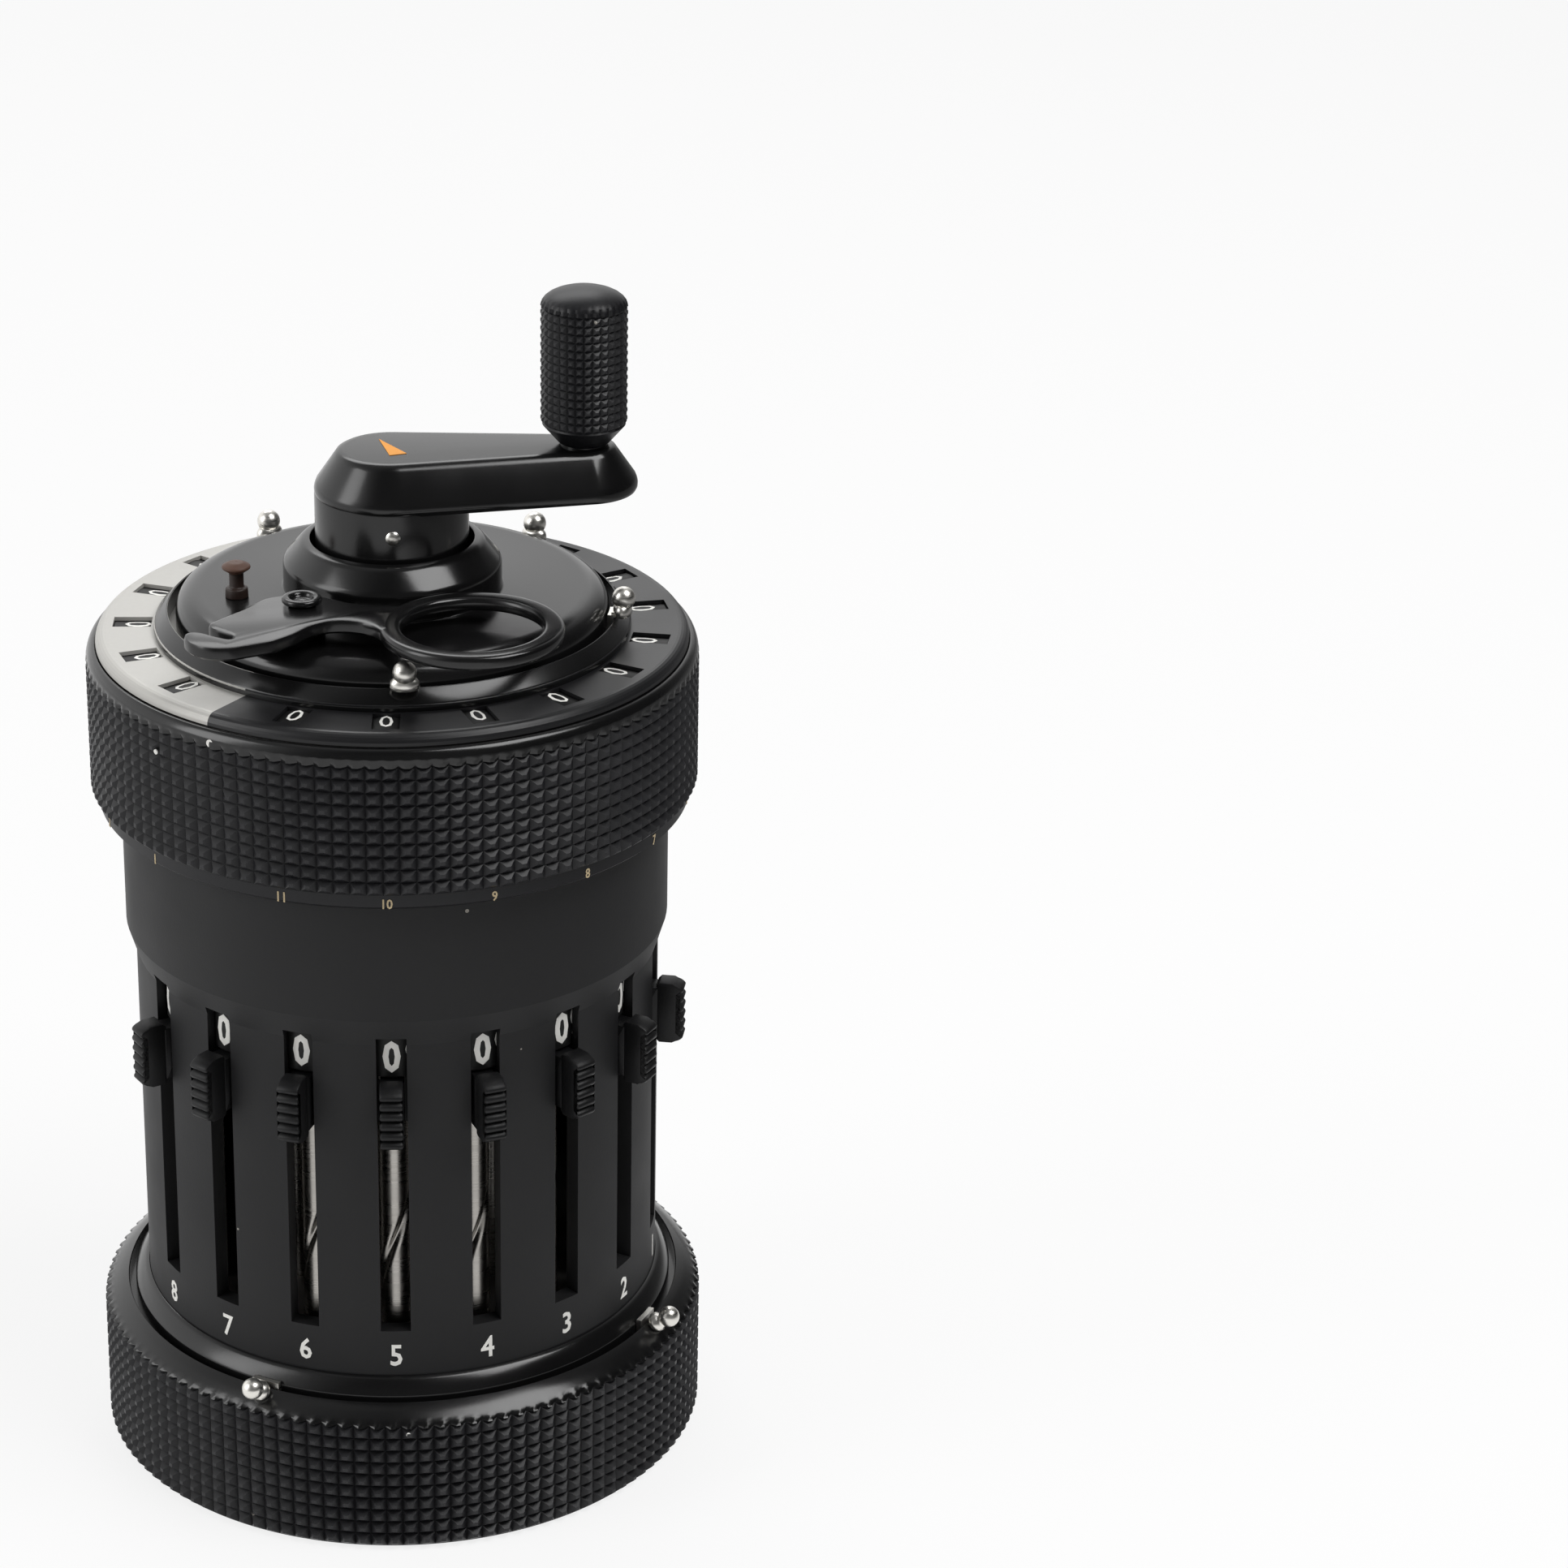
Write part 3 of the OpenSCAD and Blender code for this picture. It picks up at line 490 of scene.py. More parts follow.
# %% Carriage ring
RING_R, RING_LOW, RING_IN, BAND_R = 26.5, 61.4, 24.95, 25.8
KNURL_LOW, KNURL_HIGH, KNURL_DEPTH, KNURL_TEETH = 62.8, 74.35, 0.42, (118, 10)
RIM_R, RIM_LOW, LIP_LOW = 25.6, 75.9, 75.86
GLOSS_OVER = 0.03
ring_foot = [(RING_IN, RING_LOW), (BAND_R - 0.35, RING_LOW), (BAND_R, RING_LOW + 0.3), (BAND_R, KNURL_LOW)]
ring_shoulder = arc_rows(RING_R - 0.02, KNURL_HIGH + 0.06, RIM_R + 0.12, RIM_LOW, 14)
carriage_shell, carriage_rub = knurled_ring(
    square_teeth(*KNURL_TEETH), RING_R, KNURL_DEPTH, KNURL_LOW + 0.1, KNURL_HIGH, ring_foot,
    np.concatenate([ring_shoulder, [(RIM_R, LIP_LOW), (RING_IN, LIP_LOW)]]), run_out=1.0)
make_piece("carriage_ring_knurled", carriage_shell, "carriage", "knurl_black", ["carriage_ring"],
           crease=25.0, rub=carriage_rub, above=(KNURL_HIGH + GLOSS_OVER, "gloss_black"))
print("carriage ring:", len(carriage_shell[1]), "faces")

# %% Base ring
CASE_R, BASE_R, BASE_TOP = 23.15, 27.27, 15.4
BASE_BORE = CASE_R + 0.05
BASE_KNURL_LOW, BASE_KNURL_TOP, BASE_KNURL_DEPTH, BASE_TEETH = 0.3, 12.3, 0.55, (120, 10)
RECESS_R, RECESS_TOP = 24.4, 1.6
GROOVE_IN, GROOVE_OUT, GROOVE_LOW = 24.45, 25.05, 12.8
base_foot = [(BASE_BORE, RECESS_TOP), (RECESS_R, RECESS_TOP), (RECESS_R, 0.0), (BASE_R - 0.9, 0.0),
             (BASE_R - 0.6, 0.2)]
base_shoulder = [(27.2, 12.36), (27.0, 12.54), (26.7, 12.78), (26.4, 13.0), (26.05, 13.3), (25.65, 13.55),
                 (25.3, 13.75), (25.12, 13.84)]
base_groove = [(GROOVE_OUT, 13.72), (GROOVE_OUT, GROOVE_LOW), (GROOVE_IN, GROOVE_LOW), (GROOVE_IN, 14.0)]
base_lip = [(24.4, 14.14), (24.0, 14.7), (23.62, 15.18), (23.4, 15.35), (BASE_BORE, BASE_TOP)]
base_shell, base_rub = knurled_ring(
    square_teeth(*BASE_TEETH), BASE_R, BASE_KNURL_DEPTH, BASE_KNURL_LOW, BASE_KNURL_TOP, base_foot,
    base_shoulder + base_groove + base_lip)
make_piece("base_ring_knurled", base_shell, "root", "knurl_black", ["base_ring"],
           crease=25.0, rub=base_rub, above=(BASE_KNURL_TOP + GLOSS_OVER, "gloss_black"))
print("base ring:", len(base_shell[1]), "faces")

# %% [markdown]
# ## Crank
# The crank is one black casting: a round hub, and an arm whose sides lean in to a flat top. The grip turns on
# a pin at the arm's end and has the same square teeth as the carriage. A Bevel modifier would give edges of
# one width only. The arm's plan is the outline round two circles instead, and carrying it up through a
# profile of insets gives the leaning sides and the softened edges at one go.

# %% Crank arm
HUB_R, HUB_BORE, HUB_LOW, HUB_SEAT = 6.6, 3.1, 81.0, 0.4
ARM_LOW, ARM_TOP, ARM_END_R, ARM_LEAN = 88.7, 92.8, 4.65, 2.05
CRANK_L, CRANK_TURN = 16.5, 85.0
NECK_R, NECK_SINK, GRIP_LOW, GRIP_GAP = 2.0, 0.3, 93.05, 0.1
PIN_R, PIN_SIDE, PIN_TOP = 1.2, 101.9, 102.0


def two_circle_outline(r0, r1, reach, count=48):
    """Outline round two circles on the x axis: the far arc of each, joined by their common tangents."""
    half = math.acos((r0 - r1) / reach)
    near = np.linspace(half, 2 * np.pi - half, count)
    far = np.linspace(-half, half, count)
    first = grid(r0 * np.cos(near), r0 * np.sin(near))
    second = grid(reach + r1 * np.cos(far), r1 * np.sin(far))
    return np.concatenate([first, second])


def post(radius, low, side, top):
    """Profile of a plain round post, whose end rises from its side to the top at the axis."""
    return [(0.0, low), (radius, low), (radius, side), (0.0, top)]


def at_crank_end(shell):
    """A shell moved from the axis to the end of the crank."""
    return at_turn(shifted(shell, CRANK_L), CRANK_TURN)


arm_profile = [(0.5, ARM_LOW), (0.15, ARM_LOW + 0.1), (0.02, ARM_LOW + 0.35), (0.0, ARM_LOW + 0.7),
               (0.06, ARM_LOW + 1.0), (0.2, ARM_LOW + 1.35), (ARM_LEAN - 0.35, ARM_TOP - 0.55),
               (ARM_LEAN - 0.1, ARM_TOP - 0.2), (ARM_LEAN + 0.2, ARM_TOP - 0.04), (ARM_LEAN + 0.6, ARM_TOP)]
arm = at_turn(plate(two_circle_outline(HUB_R, ARM_END_R, CRANK_L), arm_profile), CRANK_TURN)
hub_top = ARM_LOW + HUB_SEAT
hub = turned(eased([(HUB_BORE, HUB_LOW), (HUB_R, HUB_LOW), (HUB_R, hub_top), (HUB_BORE, hub_top)], 0.25), 96)
neck_top = GRIP_LOW - GRIP_GAP
neck = turned(post(NECK_R, ARM_TOP - NECK_SINK, neck_top, neck_top), 48)
grip_pin = turned(post(PIN_R, neck_top - GRIP_GAP, PIN_SIDE, PIN_TOP), 24)
crank_shell = join(arm, hub, at_crank_end(neck), at_crank_end(grip_pin))
make_piece("crank_arm_cast", crank_shell, "crank", "gloss_black", ["crank_arm"], crease=30.0, merge=True)
print("crank:", len(crank_shell[1]), "faces")

# %% Grip
GRIP_R, GRIP_TOP, DOME_LOW, GRIP_BORE, BORE_SIDE, BORE_TOP = 3.72, 106.7, 105.1, 1.3, 102.35, 102.5
GRIP_KNURL_LOW, GRIP_KNURL_HIGH, GRIP_KNURL_DEPTH, GRIP_TEETH = 94.8, 104.9, 0.24, (30, 14)
grip_foot = [(GRIP_BORE, GRIP_LOW), (2.15, GRIP_LOW), (2.25, GRIP_LOW + 0.05),
             (GRIP_R - 0.14, GRIP_LOW + 1.6)]
grip_dome = arc_rows(GRIP_R, DOME_LOW, 0.0, GRIP_TOP)
grip_top = np.concatenate([grip_dome, [(0.0, BORE_TOP), (GRIP_BORE, BORE_SIDE)]])
grip_shell, grip_rub = knurled_ring(square_teeth(*GRIP_TEETH), GRIP_R, GRIP_KNURL_DEPTH, GRIP_KNURL_LOW,
                                    GRIP_KNURL_HIGH, grip_foot, grip_top)
make_piece("crank_grip_knurled", at_crank_end(grip_shell), "grip", "knurl_black", ["crank_grip"],
           crease=25.0, rub=grip_rub, merge=True)
print("grip:", len(grip_shell[1]), "faces")

# %% Hub pin
HUB_PIN_R, HUB_PIN_Z, HUB_PIN_TURN, HUB_PIN_SIDE, HUB_PIN_DOME = 0.75, 87.0, -7.5, 6.25, 0.6
pin_dome = arc_rows(HUB_PIN_R, HUB_PIN_SIDE, 0.0, HUB_PIN_SIDE + HUB_PIN_DOME)
upright = turned(np.concatenate([[(0.0, -HUB_R), (HUB_PIN_R, -HUB_R)], pin_dome]), 32)
lying = upright[0][:, [2, 0, 1]], upright[1]
make_piece("hub_pin_rounded", at_turn(shifted(lying, z=HUB_PIN_Z), HUB_PIN_TURN), "crank", "marker_silver",
           ["hub_pin"], crease=50.0, merge=True)
print("hub pin:", len(lying[1]), "faces")

# %% [markdown]
# ## Clearing cover, lever and pin
# The cover is a bevelled disc that turns on the carriage. A thin lever with a finger ring swings out from a
# post on it, and sweeping it round sets the dials back to nought. The disc, post and pin are lathe work, and
# each corner of the disc has its own rounding, which one Bevel modifier couldn't give. The ring is a small
# rounded profile turned about its own centre, and the lever's arm is a plate whose width changes on its way.

# %% Cover
COVER_R, COVER_FLAT_R, COVER_WALL_R = 18.67, 16.8, 17.2
COVER_LOW, COVER_ROOF, COVER_Z = 77.25, 79.2, 80.45
COLLAR_R, COLLAR_SIDE, COLLAR_TOP, COLLAR_BORE = 9.4, 82.9, 84.9, 7.0
HOLLOW_R, HOLLOW_TOP = 8.9, 81.3
PIVOT, PIVOT_R, POST_R, HEAD_R = polar(13.2, -43.3), 1.1, 1.9, 1.7
LEVER_LOW, LEVER_HIGH, LEVER_GAP, POST_SINK = 81.7, 82.95, 0.1, 0.2
HEAD_LOW, HEAD_TOP = LEVER_HIGH + LEVER_GAP, LEVER_HIGH + 0.65
cover_rows = np.array([
    (COVER_WALL_R, COVER_LOW, 0.2), (COVER_R, COVER_LOW, 0.2), (COVER_R, COVER_Z - 1.55, 0.5),
    (COVER_R - 0.4, COVER_Z - 0.7, 0.4), (COVER_R - 1.1, COVER_Z - 0.22, 0.4), (COVER_FLAT_R, COVER_Z, 0.4),
    (COLLAR_R, COVER_Z, 0.25), (COLLAR_R, COLLAR_SIDE, 0.4), (COLLAR_BORE + 0.8, COLLAR_TOP - 0.15, 0.4),
    (COLLAR_BORE + 0.05, COLLAR_TOP, 0.15), (COLLAR_BORE, HOLLOW_TOP, 0.1), (HOLLOW_R, HOLLOW_TOP, 0.1),
    (HOLLOW_R, COVER_ROOF, 0.1), (COVER_WALL_R, COVER_ROOF, 0.1)])
lever_post = eased([
    (0.0, COVER_Z - POST_SINK), (POST_R, COVER_Z - POST_SINK), (POST_R, LEVER_LOW - LEVER_GAP),
    (PIVOT_R, LEVER_LOW - LEVER_GAP), (PIVOT_R, HEAD_LOW), (HEAD_R, HEAD_LOW),
    (HEAD_R - 0.05, HEAD_TOP - 0.1), (HEAD_R - 0.4, HEAD_TOP), (1.0, HEAD_TOP - 0.1), (0.8, HEAD_TOP - 0.45),
    (0.0, HEAD_TOP - 0.5)], 0.25, 7)
cover_shell = join(turned(eased(cover_rows[:, :2], cover_rows[:, 2], 6), 160),
                   shifted(turned(lever_post, 64), *PIVOT))
make_piece("top_cover_turned", cover_shell, "clearing", "gloss_black", ["top_cover"], crease=30.0, merge=True)
print("cover:", len(cover_shell[1]), "faces")

# %% Marker rail and cover pin
PLATE_Z, RAIL_IN, RAIL_OUT, RAIL_SIDE, RAIL_TOP = 76.95, 19.36, 20.57, 77.5, 78.66
RAIL_LOW = PLATE_Z + 0.01
rail_rows = np.array([(RAIL_IN, RAIL_LOW, 0.05), (RAIL_OUT, RAIL_LOW, 0.05), (RAIL_OUT, RAIL_SIDE, 0.25),
                      (RAIL_IN + 0.1, RAIL_TOP, 0.12), (RAIL_IN, RAIL_TOP - 0.05, 0.05)])
rail_shell = turned(eased(rail_rows[:, :2], rail_rows[:, 2], 5), 192)
make_piece("marker_rail_turned", rail_shell, "carriage", "gloss_black", crease=40.0)

COVER_PIN, STEM_R, STEM_TOP = polar(13.55, -87.1), 0.62, COVER_Z + 2.2
pin_profile = eased([(0.0, COVER_Z), (1.0, COVER_Z), (0.95, COVER_Z + 0.85), (STEM_R, COVER_Z + 0.95),
                     (STEM_R, STEM_TOP), (1.25, COVER_Z + 2.65), (1.2, COVER_Z + 2.85), (0.6, COVER_Z + 3.15),
                     (0.0, COVER_Z + 3.2)], 0.12)
# Faces over the stem's top get the lighter brown, painted light on the pin head's lit top.
make_piece("cover_pin_turned", shifted(turned(pin_profile, 40), *COVER_PIN), "clearing", "pin_brown",
           ["cover_pin"], crease=50.0, merge=True, above=(STEM_TOP, "pin_head_lit_brown"))
print("rail:", len(rail_shell[1]), "faces; cover pin with", len(pin_profile), "profile rows")

# %% Clearing lever
LOOP, LOOP_R, LOOP_RIM = polar(17.3, 14.0), 7.7, 1.8
LOOP_IN = LOOP_R - LOOP_RIM
PADDLE = [(14.2, -57.0), (17.5, -54.4), (21.6, -53.4), (22.05, -51.0), (22.07, -47.0), (22.2, -43.6),
          (22.6, -43.2), (23.0, -43.6), (23.1, -47.0), (23.2, -51.0), (23.5, -52.6), (24.3, -53.0),
          (25.0, -51.5), (25.6, -48.6), (25.7, -45.5), (25.4, -43.0), (24.7, -40.6), (23.3, -38.3),
          (21.8, -35.3), (19.5, -32.8), (17.2, -31.3), (15.9, -28.0), (15.4, -23.0), (15.5, -18.0),
          (16.2, -13.8), (17.4, -11.2), (16.8, -7.6), (13.6, -7.0), (11.7, -3.0), (11.4, -8.0),
          (11.3, -14.0), (11.3, -20.0), (11.3, -26.0), (11.1, -31.0), (10.9, -37.0), (10.8, -43.5),
          (11.3, -50.0), (12.4, -54.5)]
LEVER_EDGE = [(0.25, LEVER_LOW), (0.0, LEVER_LOW + 0.25), (0.0, LEVER_HIGH - 0.35), (0.1, LEVER_HIGH - 0.1),
              (0.35, LEVER_HIGH - 0.005)]


def smooth_outline(corners, spacing=0.22, passes=6):
    """Closed outline through corners (distance, turn): points at even spacing, each then moved to
    (before + 2 itself + after) / 4 a few times, which rounds the corners."""
    c = np.array([polar(*corner) for corner in corners])
    ring = np.concatenate([c, c[:1]])
    gone = np.append(0.0, np.cumsum(np.linalg.norm(np.diff(ring, axis=0), axis=1)))
    t = np.linspace(0, gone[-1], int(gone[-1] / spacing), endpoint=False)
    points = grid(np.interp(t, gone, ring[:, 0]), np.interp(t, gone, ring[:, 1]))
    for _ in range(passes):
        points = (np.roll(points, 1, 0) + 2 * points + np.roll(points, -1, 0)) / 4
    return points


rim = eased([(LOOP_IN, LEVER_LOW), (LOOP_R, LEVER_LOW), (LOOP_R, LEVER_HIGH), (LOOP_IN, LEVER_HIGH)], 0.55, 6)
lever_shell = join(shifted(turned(rim, 96), *LOOP), plate(smooth_outline(PADDLE), LEVER_EDGE))
make_piece("clearing_lever_plate", lever_shell, "lever", "gloss_black", ["clearing_lever"], crease=40.0)
print("lever:", len(lever_shell[1]), "faces")

# %% [markdown]
# ## Setting shafts and knobs
# Each slider runs on an upright steel shaft with a steep helical groove, so pulling it down turns the numeral
# drum in the slot's top. The groove could be cut with a boolean; here it is a dip in the shaft's radius that
# moves round as it climbs, which leaves clean quads. The knob is a block whose face has six rounded ribs for
# the thumb.

# %% Setting shafts and numeral drums
SHAFT_DIST, SHAFT_R, SHAFT_LOW, SHAFT_TOP = 19.4, 1.5, 18.5, 56.9
HELIX_RISE, HELIX_DEPTH, HELIX_WIDTH, HELIX_FRONT = 20.0, 0.4, 0.25, 27.6
HELIX_LOW, HELIX_TOP, HELIX_RUN_OUT, HELIX_ZONE = 21.5, 43.0, 0.6, 0.6
DRUM_R, DRUM_BORE, DRUM_LOW, DRUM_TOP = 3.08, 1.4, 44.2, 48.0
PLACES = range(1, 9)


def slot_turn(n):
    """Turn of setting place n, counted from the right."""
    return (9 - 2 * n) * 10


def helical_shaft():
    """Radius R - d exp(-(b/w)^2), where b is the angle from the groove. The grid's columns wind with the
    groove, so the angle of a point is b + 2 pi (z - z0) / rise, and the groove keeps a clean edge."""
    z = np.linspace(SHAFT_LOW, SHAFT_TOP, 130)
    rest = np.linspace(HELIX_ZONE, 2 * np.pi - HELIX_ZONE, 24)[1:-1]
    b = np.concatenate([np.linspace(-HELIX_ZONE, HELIX_ZONE, 13), rest])
    cut = np.clip((z - HELIX_LOW) / HELIX_RUN_OUT, 0, 1) * np.clip((HELIX_TOP - z) / HELIX_RUN_OUT, 0, 1)
    r = SHAFT_R - HELIX_DEPTH * cut[:, None] * np.exp(-(b / HELIX_WIDTH) ** 2)
    a = b + 2 * np.pi * (z[:, None] - HELIX_FRONT) / HELIX_RISE
    points = grid(r * np.cos(a), r * np.sin(a), z[:, None])
    return points, capped_faces(len(z), len(b))


drum_corners = [(DRUM_BORE, DRUM_LOW), (DRUM_R, DRUM_LOW), (DRUM_R, DRUM_TOP), (DRUM_BORE, DRUM_TOP)]
shaft_shell = shifted(helical_shaft(), SHAFT_DIST)
drum_shell = shifted(turned(eased(drum_corners, 0.12), 40), SHAFT_DIST)
for n in PLACES:
    make_piece(f"setting_shaft_{n}_grooved", at_turn(shaft_shell, slot_turn(n)), f"shaft_{n}", "steel",
               [f"setting_shaft_{n}"], crease=60.0)
    make_piece(f"numeral_drum_{n}", at_turn(drum_shell, slot_turn(n)), f"shaft_{n}", "dial_black")
print("setting shafts:", len(PLACES), "with", len(shaft_shell[1]), "faces each")

# %% Setting knobs
KNOB_LOW, KNOB_HIGH, KNOB_BACK, KNOB_FACE, KNOB_W, KNOB_EDGE = 38.6, 44.5, 23.4, 25.85, 2.0, 0.22
RIBS, RIB_DEPTH, RIB_MARGIN, RIB_POINTS, BACK_EASE, BROW = 6, 0.45, 0.15, 8, 0.3, 1.0
STEM_BACK, FORK_BACK, FORK_FRONT, FORK_W = 21.0, 17.3, 21.3, 4.4


def side_to_side(outline, width, edge):
    """A profile in the (x, z) plane carried across the width, pulled in by the edge at both ends."""
    half = width / 2
    across = [(edge, -half), (edge * 0.3, -half + edge * 0.3), (0.0, -half + edge), (0.0, half - edge),
              (edge * 0.3, half - edge * 0.3), (edge, half)]
    points, faces = plate(outline, across)
    return points[:, [0, 2, 1]] * np.array([1, -1, 1]), faces


def ribbed_outline():
    """The knob from the side: its face is a row of round ribs, a power of |sin| of the height, that falls
    back at both ends, and the corners of its back are cut off."""
    z = np.linspace(KNOB_LOW + RIB_MARGIN, KNOB_HIGH - RIB_MARGIN, RIBS * RIB_POINTS + 1)
    wave = np.abs(np.sin(np.pi * RIBS * (z - z[0]) / (z[-1] - z[0]))) ** 0.7
    ends = np.minimum(1, np.minimum(z - KNOB_LOW, KNOB_HIGH - z) / 0.7) ** 0.5
    face = grid(KNOB_FACE - RIB_DEPTH + RIB_DEPTH * wave - 0.5 * (1 - ends), z)
    back = [(KNOB_BACK + BACK_EASE, KNOB_HIGH), (KNOB_BACK, KNOB_HIGH - BACK_EASE),
            (KNOB_BACK, KNOB_LOW + BACK_EASE), (KNOB_BACK + BACK_EASE, KNOB_LOW)]
    return np.concatenate([face, [(KNOB_FACE - BROW, KNOB_HIGH)], back, [(KNOB_FACE - BROW, KNOB_LOW)]])


def block(x0, x1, width, z0, z1, ease=0.15):
    """A block with eased edges."""
    return side_to_side(eased([(x0, z0), (x1, z0), (x1, z1), (x0, z1)], ease), width, ease)


knob_shell = join(side_to_side(ribbed_outline(), KNOB_W, KNOB_EDGE),
                  block(STEM_BACK, KNOB_BACK + 0.2, KNOB_W, KNOB_LOW + 0.5, KNOB_HIGH - 0.5),
                  block(FORK_BACK, FORK_FRONT, FORK_W, KNOB_LOW + 0.8, KNOB_LOW + 5.4))
for n in PLACES:
    make_piece(f"setting_knob_{n}_ribbed", at_turn(knob_shell, slot_turn(n)), f"knob_{n}", "knob_black",
               [f"setting_knob_{n}"], crease=40.0)
print("setting knobs:", len(PLACES), "with", len(knob_shell[1]), "faces each")

# %% [markdown]
# ## Decimal markers
# Small satin balls on caps slide round the register and the base to mark the decimal point. One of Blender's
# spheres would do for the ball, but a turned profile gives ball and cap alike, about the marker's own axis. A
# short curved shoe holds it in the groove.

# %% Shoes and balls
def groove_shoe(r0, r1, z0, z1, arc=6.0, steps=7):
    """A block bent round the axis: a square profile swept through a few degrees, closed at both ends."""
    a = np.radians(np.linspace(-arc / 2, arc / 2, steps))
    r, z = np.array([r0, r1, r1, r0]), np.array([z0, z0, z1, z1])
    points = grid(np.outer(np.cos(a), r), np.outer(np.sin(a), r), z)
    return points, capped_faces(steps, len(r))


def ball_rows(radius, middle, start, count):
    """Rows of a ball up to its pole: at angle t over its equator, r = R cos t and z = middle + R sin t."""
    t = np.linspace(start, np.pi / 2, count)
    return grid(radius * np.cos(t), middle + radius * np.sin(t))


print("a shoe has", len(groove_shoe(1, 2, 0, 1)[1]), "faces")

# %% Register markers
BALL_R, BALL_DIST, BALL_Z = 1.02, 20.05, 80.25
SADDLE_LOW, SADDLE_IN, SADDLE_FLAT = 78.7, 0.1, np.array([0.65, 1.0, 1.0])
TRACK_IN, TRACK_OUT, NECK_IN, NECK_OUT = 18.79, 19.31, 19.1, 19.9
saddle = eased([(0.0, SADDLE_LOW), (1.2, SADDLE_LOW), (1.28, SADDLE_LOW + 0.55), (1.05, SADDLE_LOW + 1.0),
                (0.6, SADDLE_LOW + 1.2), (0.0, SADDLE_LOW + 1.2)], 0.25)
saddle_points, saddle_faces = turned(saddle, 32)
saddle_shell = shifted((saddle_points * SADDLE_FLAT, saddle_faces), BALL_DIST - SADDLE_IN)
ball_shell = turned(ball_rows(BALL_R, BALL_Z, -np.pi / 2, 17), 32, closed=False)
register_marker = join(shifted(ball_shell, BALL_DIST), saddle_shell,
                       groove_shoe(TRACK_IN, TRACK_OUT, PLATE_Z + 0.06, SADDLE_LOW + 0.3),
                       groove_shoe(NECK_IN, NECK_OUT, SADDLE_LOW + 0.02, SADDLE_LOW + 0.5, 5.0))
REGISTER_MARKER_TURNS = (-5.7, 71.7, 132.4, -154.8)
for i, turn in enumerate(REGISTER_MARKER_TURNS, 1):
    make_piece(f"register_marker_{i}_ball", at_turn(register_marker, turn), f"register_mark_{i}",
               "marker_silver", [f"register_marker_{i}"], crease=60.0, merge=True)
print("register markers:", len(REGISTER_MARKER_TURNS), "with", len(register_marker[1]), "faces each")

# %% Base markers
FOOT_DIST, FOOT_Z, LEAN_OUT, LEAN_UP, BASE_BALL_R, BALL_START = 25.75, 13.75, 1.35, 1.0, 0.95, -1.08
SHOE_GAP, SHOE_TOP = 0.06, BASE_TOP - 1.0
CAP = [(0.0, -0.15), (0.75, -0.15), (0.92, 0.1), (0.88, 0.4), (0.6, 0.7), (0.45, 0.82)]


def base_marker_shell():
    """Shoe in the groove, and on the shoulder a cap and ball turned about an axis that leans outwards."""
    length, lean = math.hypot(LEAN_OUT, LEAN_UP), math.atan2(LEAN_OUT, LEAN_UP)
    points, faces = turned(np.concatenate([CAP, ball_rows(BASE_BALL_R, length, BALL_START, 14)]), 32)
    tip = np.array([[math.cos(lean), 0, -math.sin(lean)], [0, 1, 0], [math.sin(lean), 0, math.cos(lean)]])
    shoe = groove_shoe(GROOVE_IN + SHOE_GAP, GROOVE_OUT - SHOE_GAP, GROOVE_LOW + SHOE_GAP, SHOE_TOP)
    return join(shifted((points @ tip, faces), FOOT_DIST, 0.0, FOOT_Z), shoe)


BASE_MARKER_TURNS = (-37.4, 52.8)
base_marker = base_marker_shell()
for i, turn in enumerate(BASE_MARKER_TURNS, 1):
    make_piece(f"base_marker_{i}_ball", at_turn(base_marker, turn), f"base_mark_{i}", "marker_silver",
               [f"base_marker_{i}"], crease=60.0, merge=True)
print("base markers:", len(BASE_MARKER_TURNS), "with", len(base_marker[1]), "faces each")

# %% [markdown]
# ## Numbers
# Every number on the machine is paint in shallow engraving. Text objects could be bent with modifiers, one
# for each number. Here the outline of each figure comes from a text object once, and two formulas lay it on:
# round the upright cylinders, and over the small dials whose axes point outwards from the middle.

# %% Flat figures
PAINT_T, FIGURE_MERGE, LEAST_LENGTH = 0.05, 1e-4, 1e-9


@cache
def flat_figure(text, bold):
    """A number one unit deep, as points and faces. Each point moves out by bold along the summed normals of
    the side faces that meet there, because the curve's own offset folds over itself."""
    curve = bpy.data.curves.new("figure", "FONT")
    curve.body, curve.resolution_u, curve.extrude = text, 2, 0.5
    holder = in_scene("figure", curve)
    mesh = bpy.data.meshes.new_from_object(holder.evaluated_get(bpy.context.evaluated_depsgraph_get()))
    merge_doubles(mesh, FIGURE_MERGE)
    points = read_all(mesh.vertices, "co", 3)
    corners = read_all(mesh.loops, "vertex_index", kind=np.int32)
    sizes = read_all(mesh.polygons, "loop_total", kind=np.int32)
    normals = np.repeat(read_all(mesh.polygons, "normal", 3), sizes, axis=0)
    bpy.data.objects.remove(holder)
    bpy.data.curves.remove(curve)
    bpy.data.meshes.remove(mesh)
    side = np.abs(normals[:, 2]) < 0.5
    out = np.zeros_like(points)
    np.add.at(out, corners[side], normals[side])
    points += bold * out / np.maximum(np.linalg.norm(out, axis=1, keepdims=True), LEAST_LENGTH)
    return points, [face.tolist() for face in np.split(corners, np.cumsum(sizes)[:-1])]


def figure(text, height, narrow, bold):
    """A number as a thin solid: x to the right and y up from its middle, t out of the surface."""
    points, faces = flat_figure(text, bold)
    low, high = points.min(0), points.max(0)
    scale = height / (high[1] - low[1])
    x, y = (points - (low + high) / 2)[:, :2].T * scale
    return x * narrow, y, points[:, 2] * PAINT_T, faces


print("the figure 0 has", len(flat_figure("0", 0.0)[1]), "faces")

# %% Numbers on the drums
DIGITS, DIGIT_STEP = range(10), 36
DRUM_FIGURE = dict(height=3.0, radius=DRUM_R, z=46.2, narrow=0.78, bold=0.035)


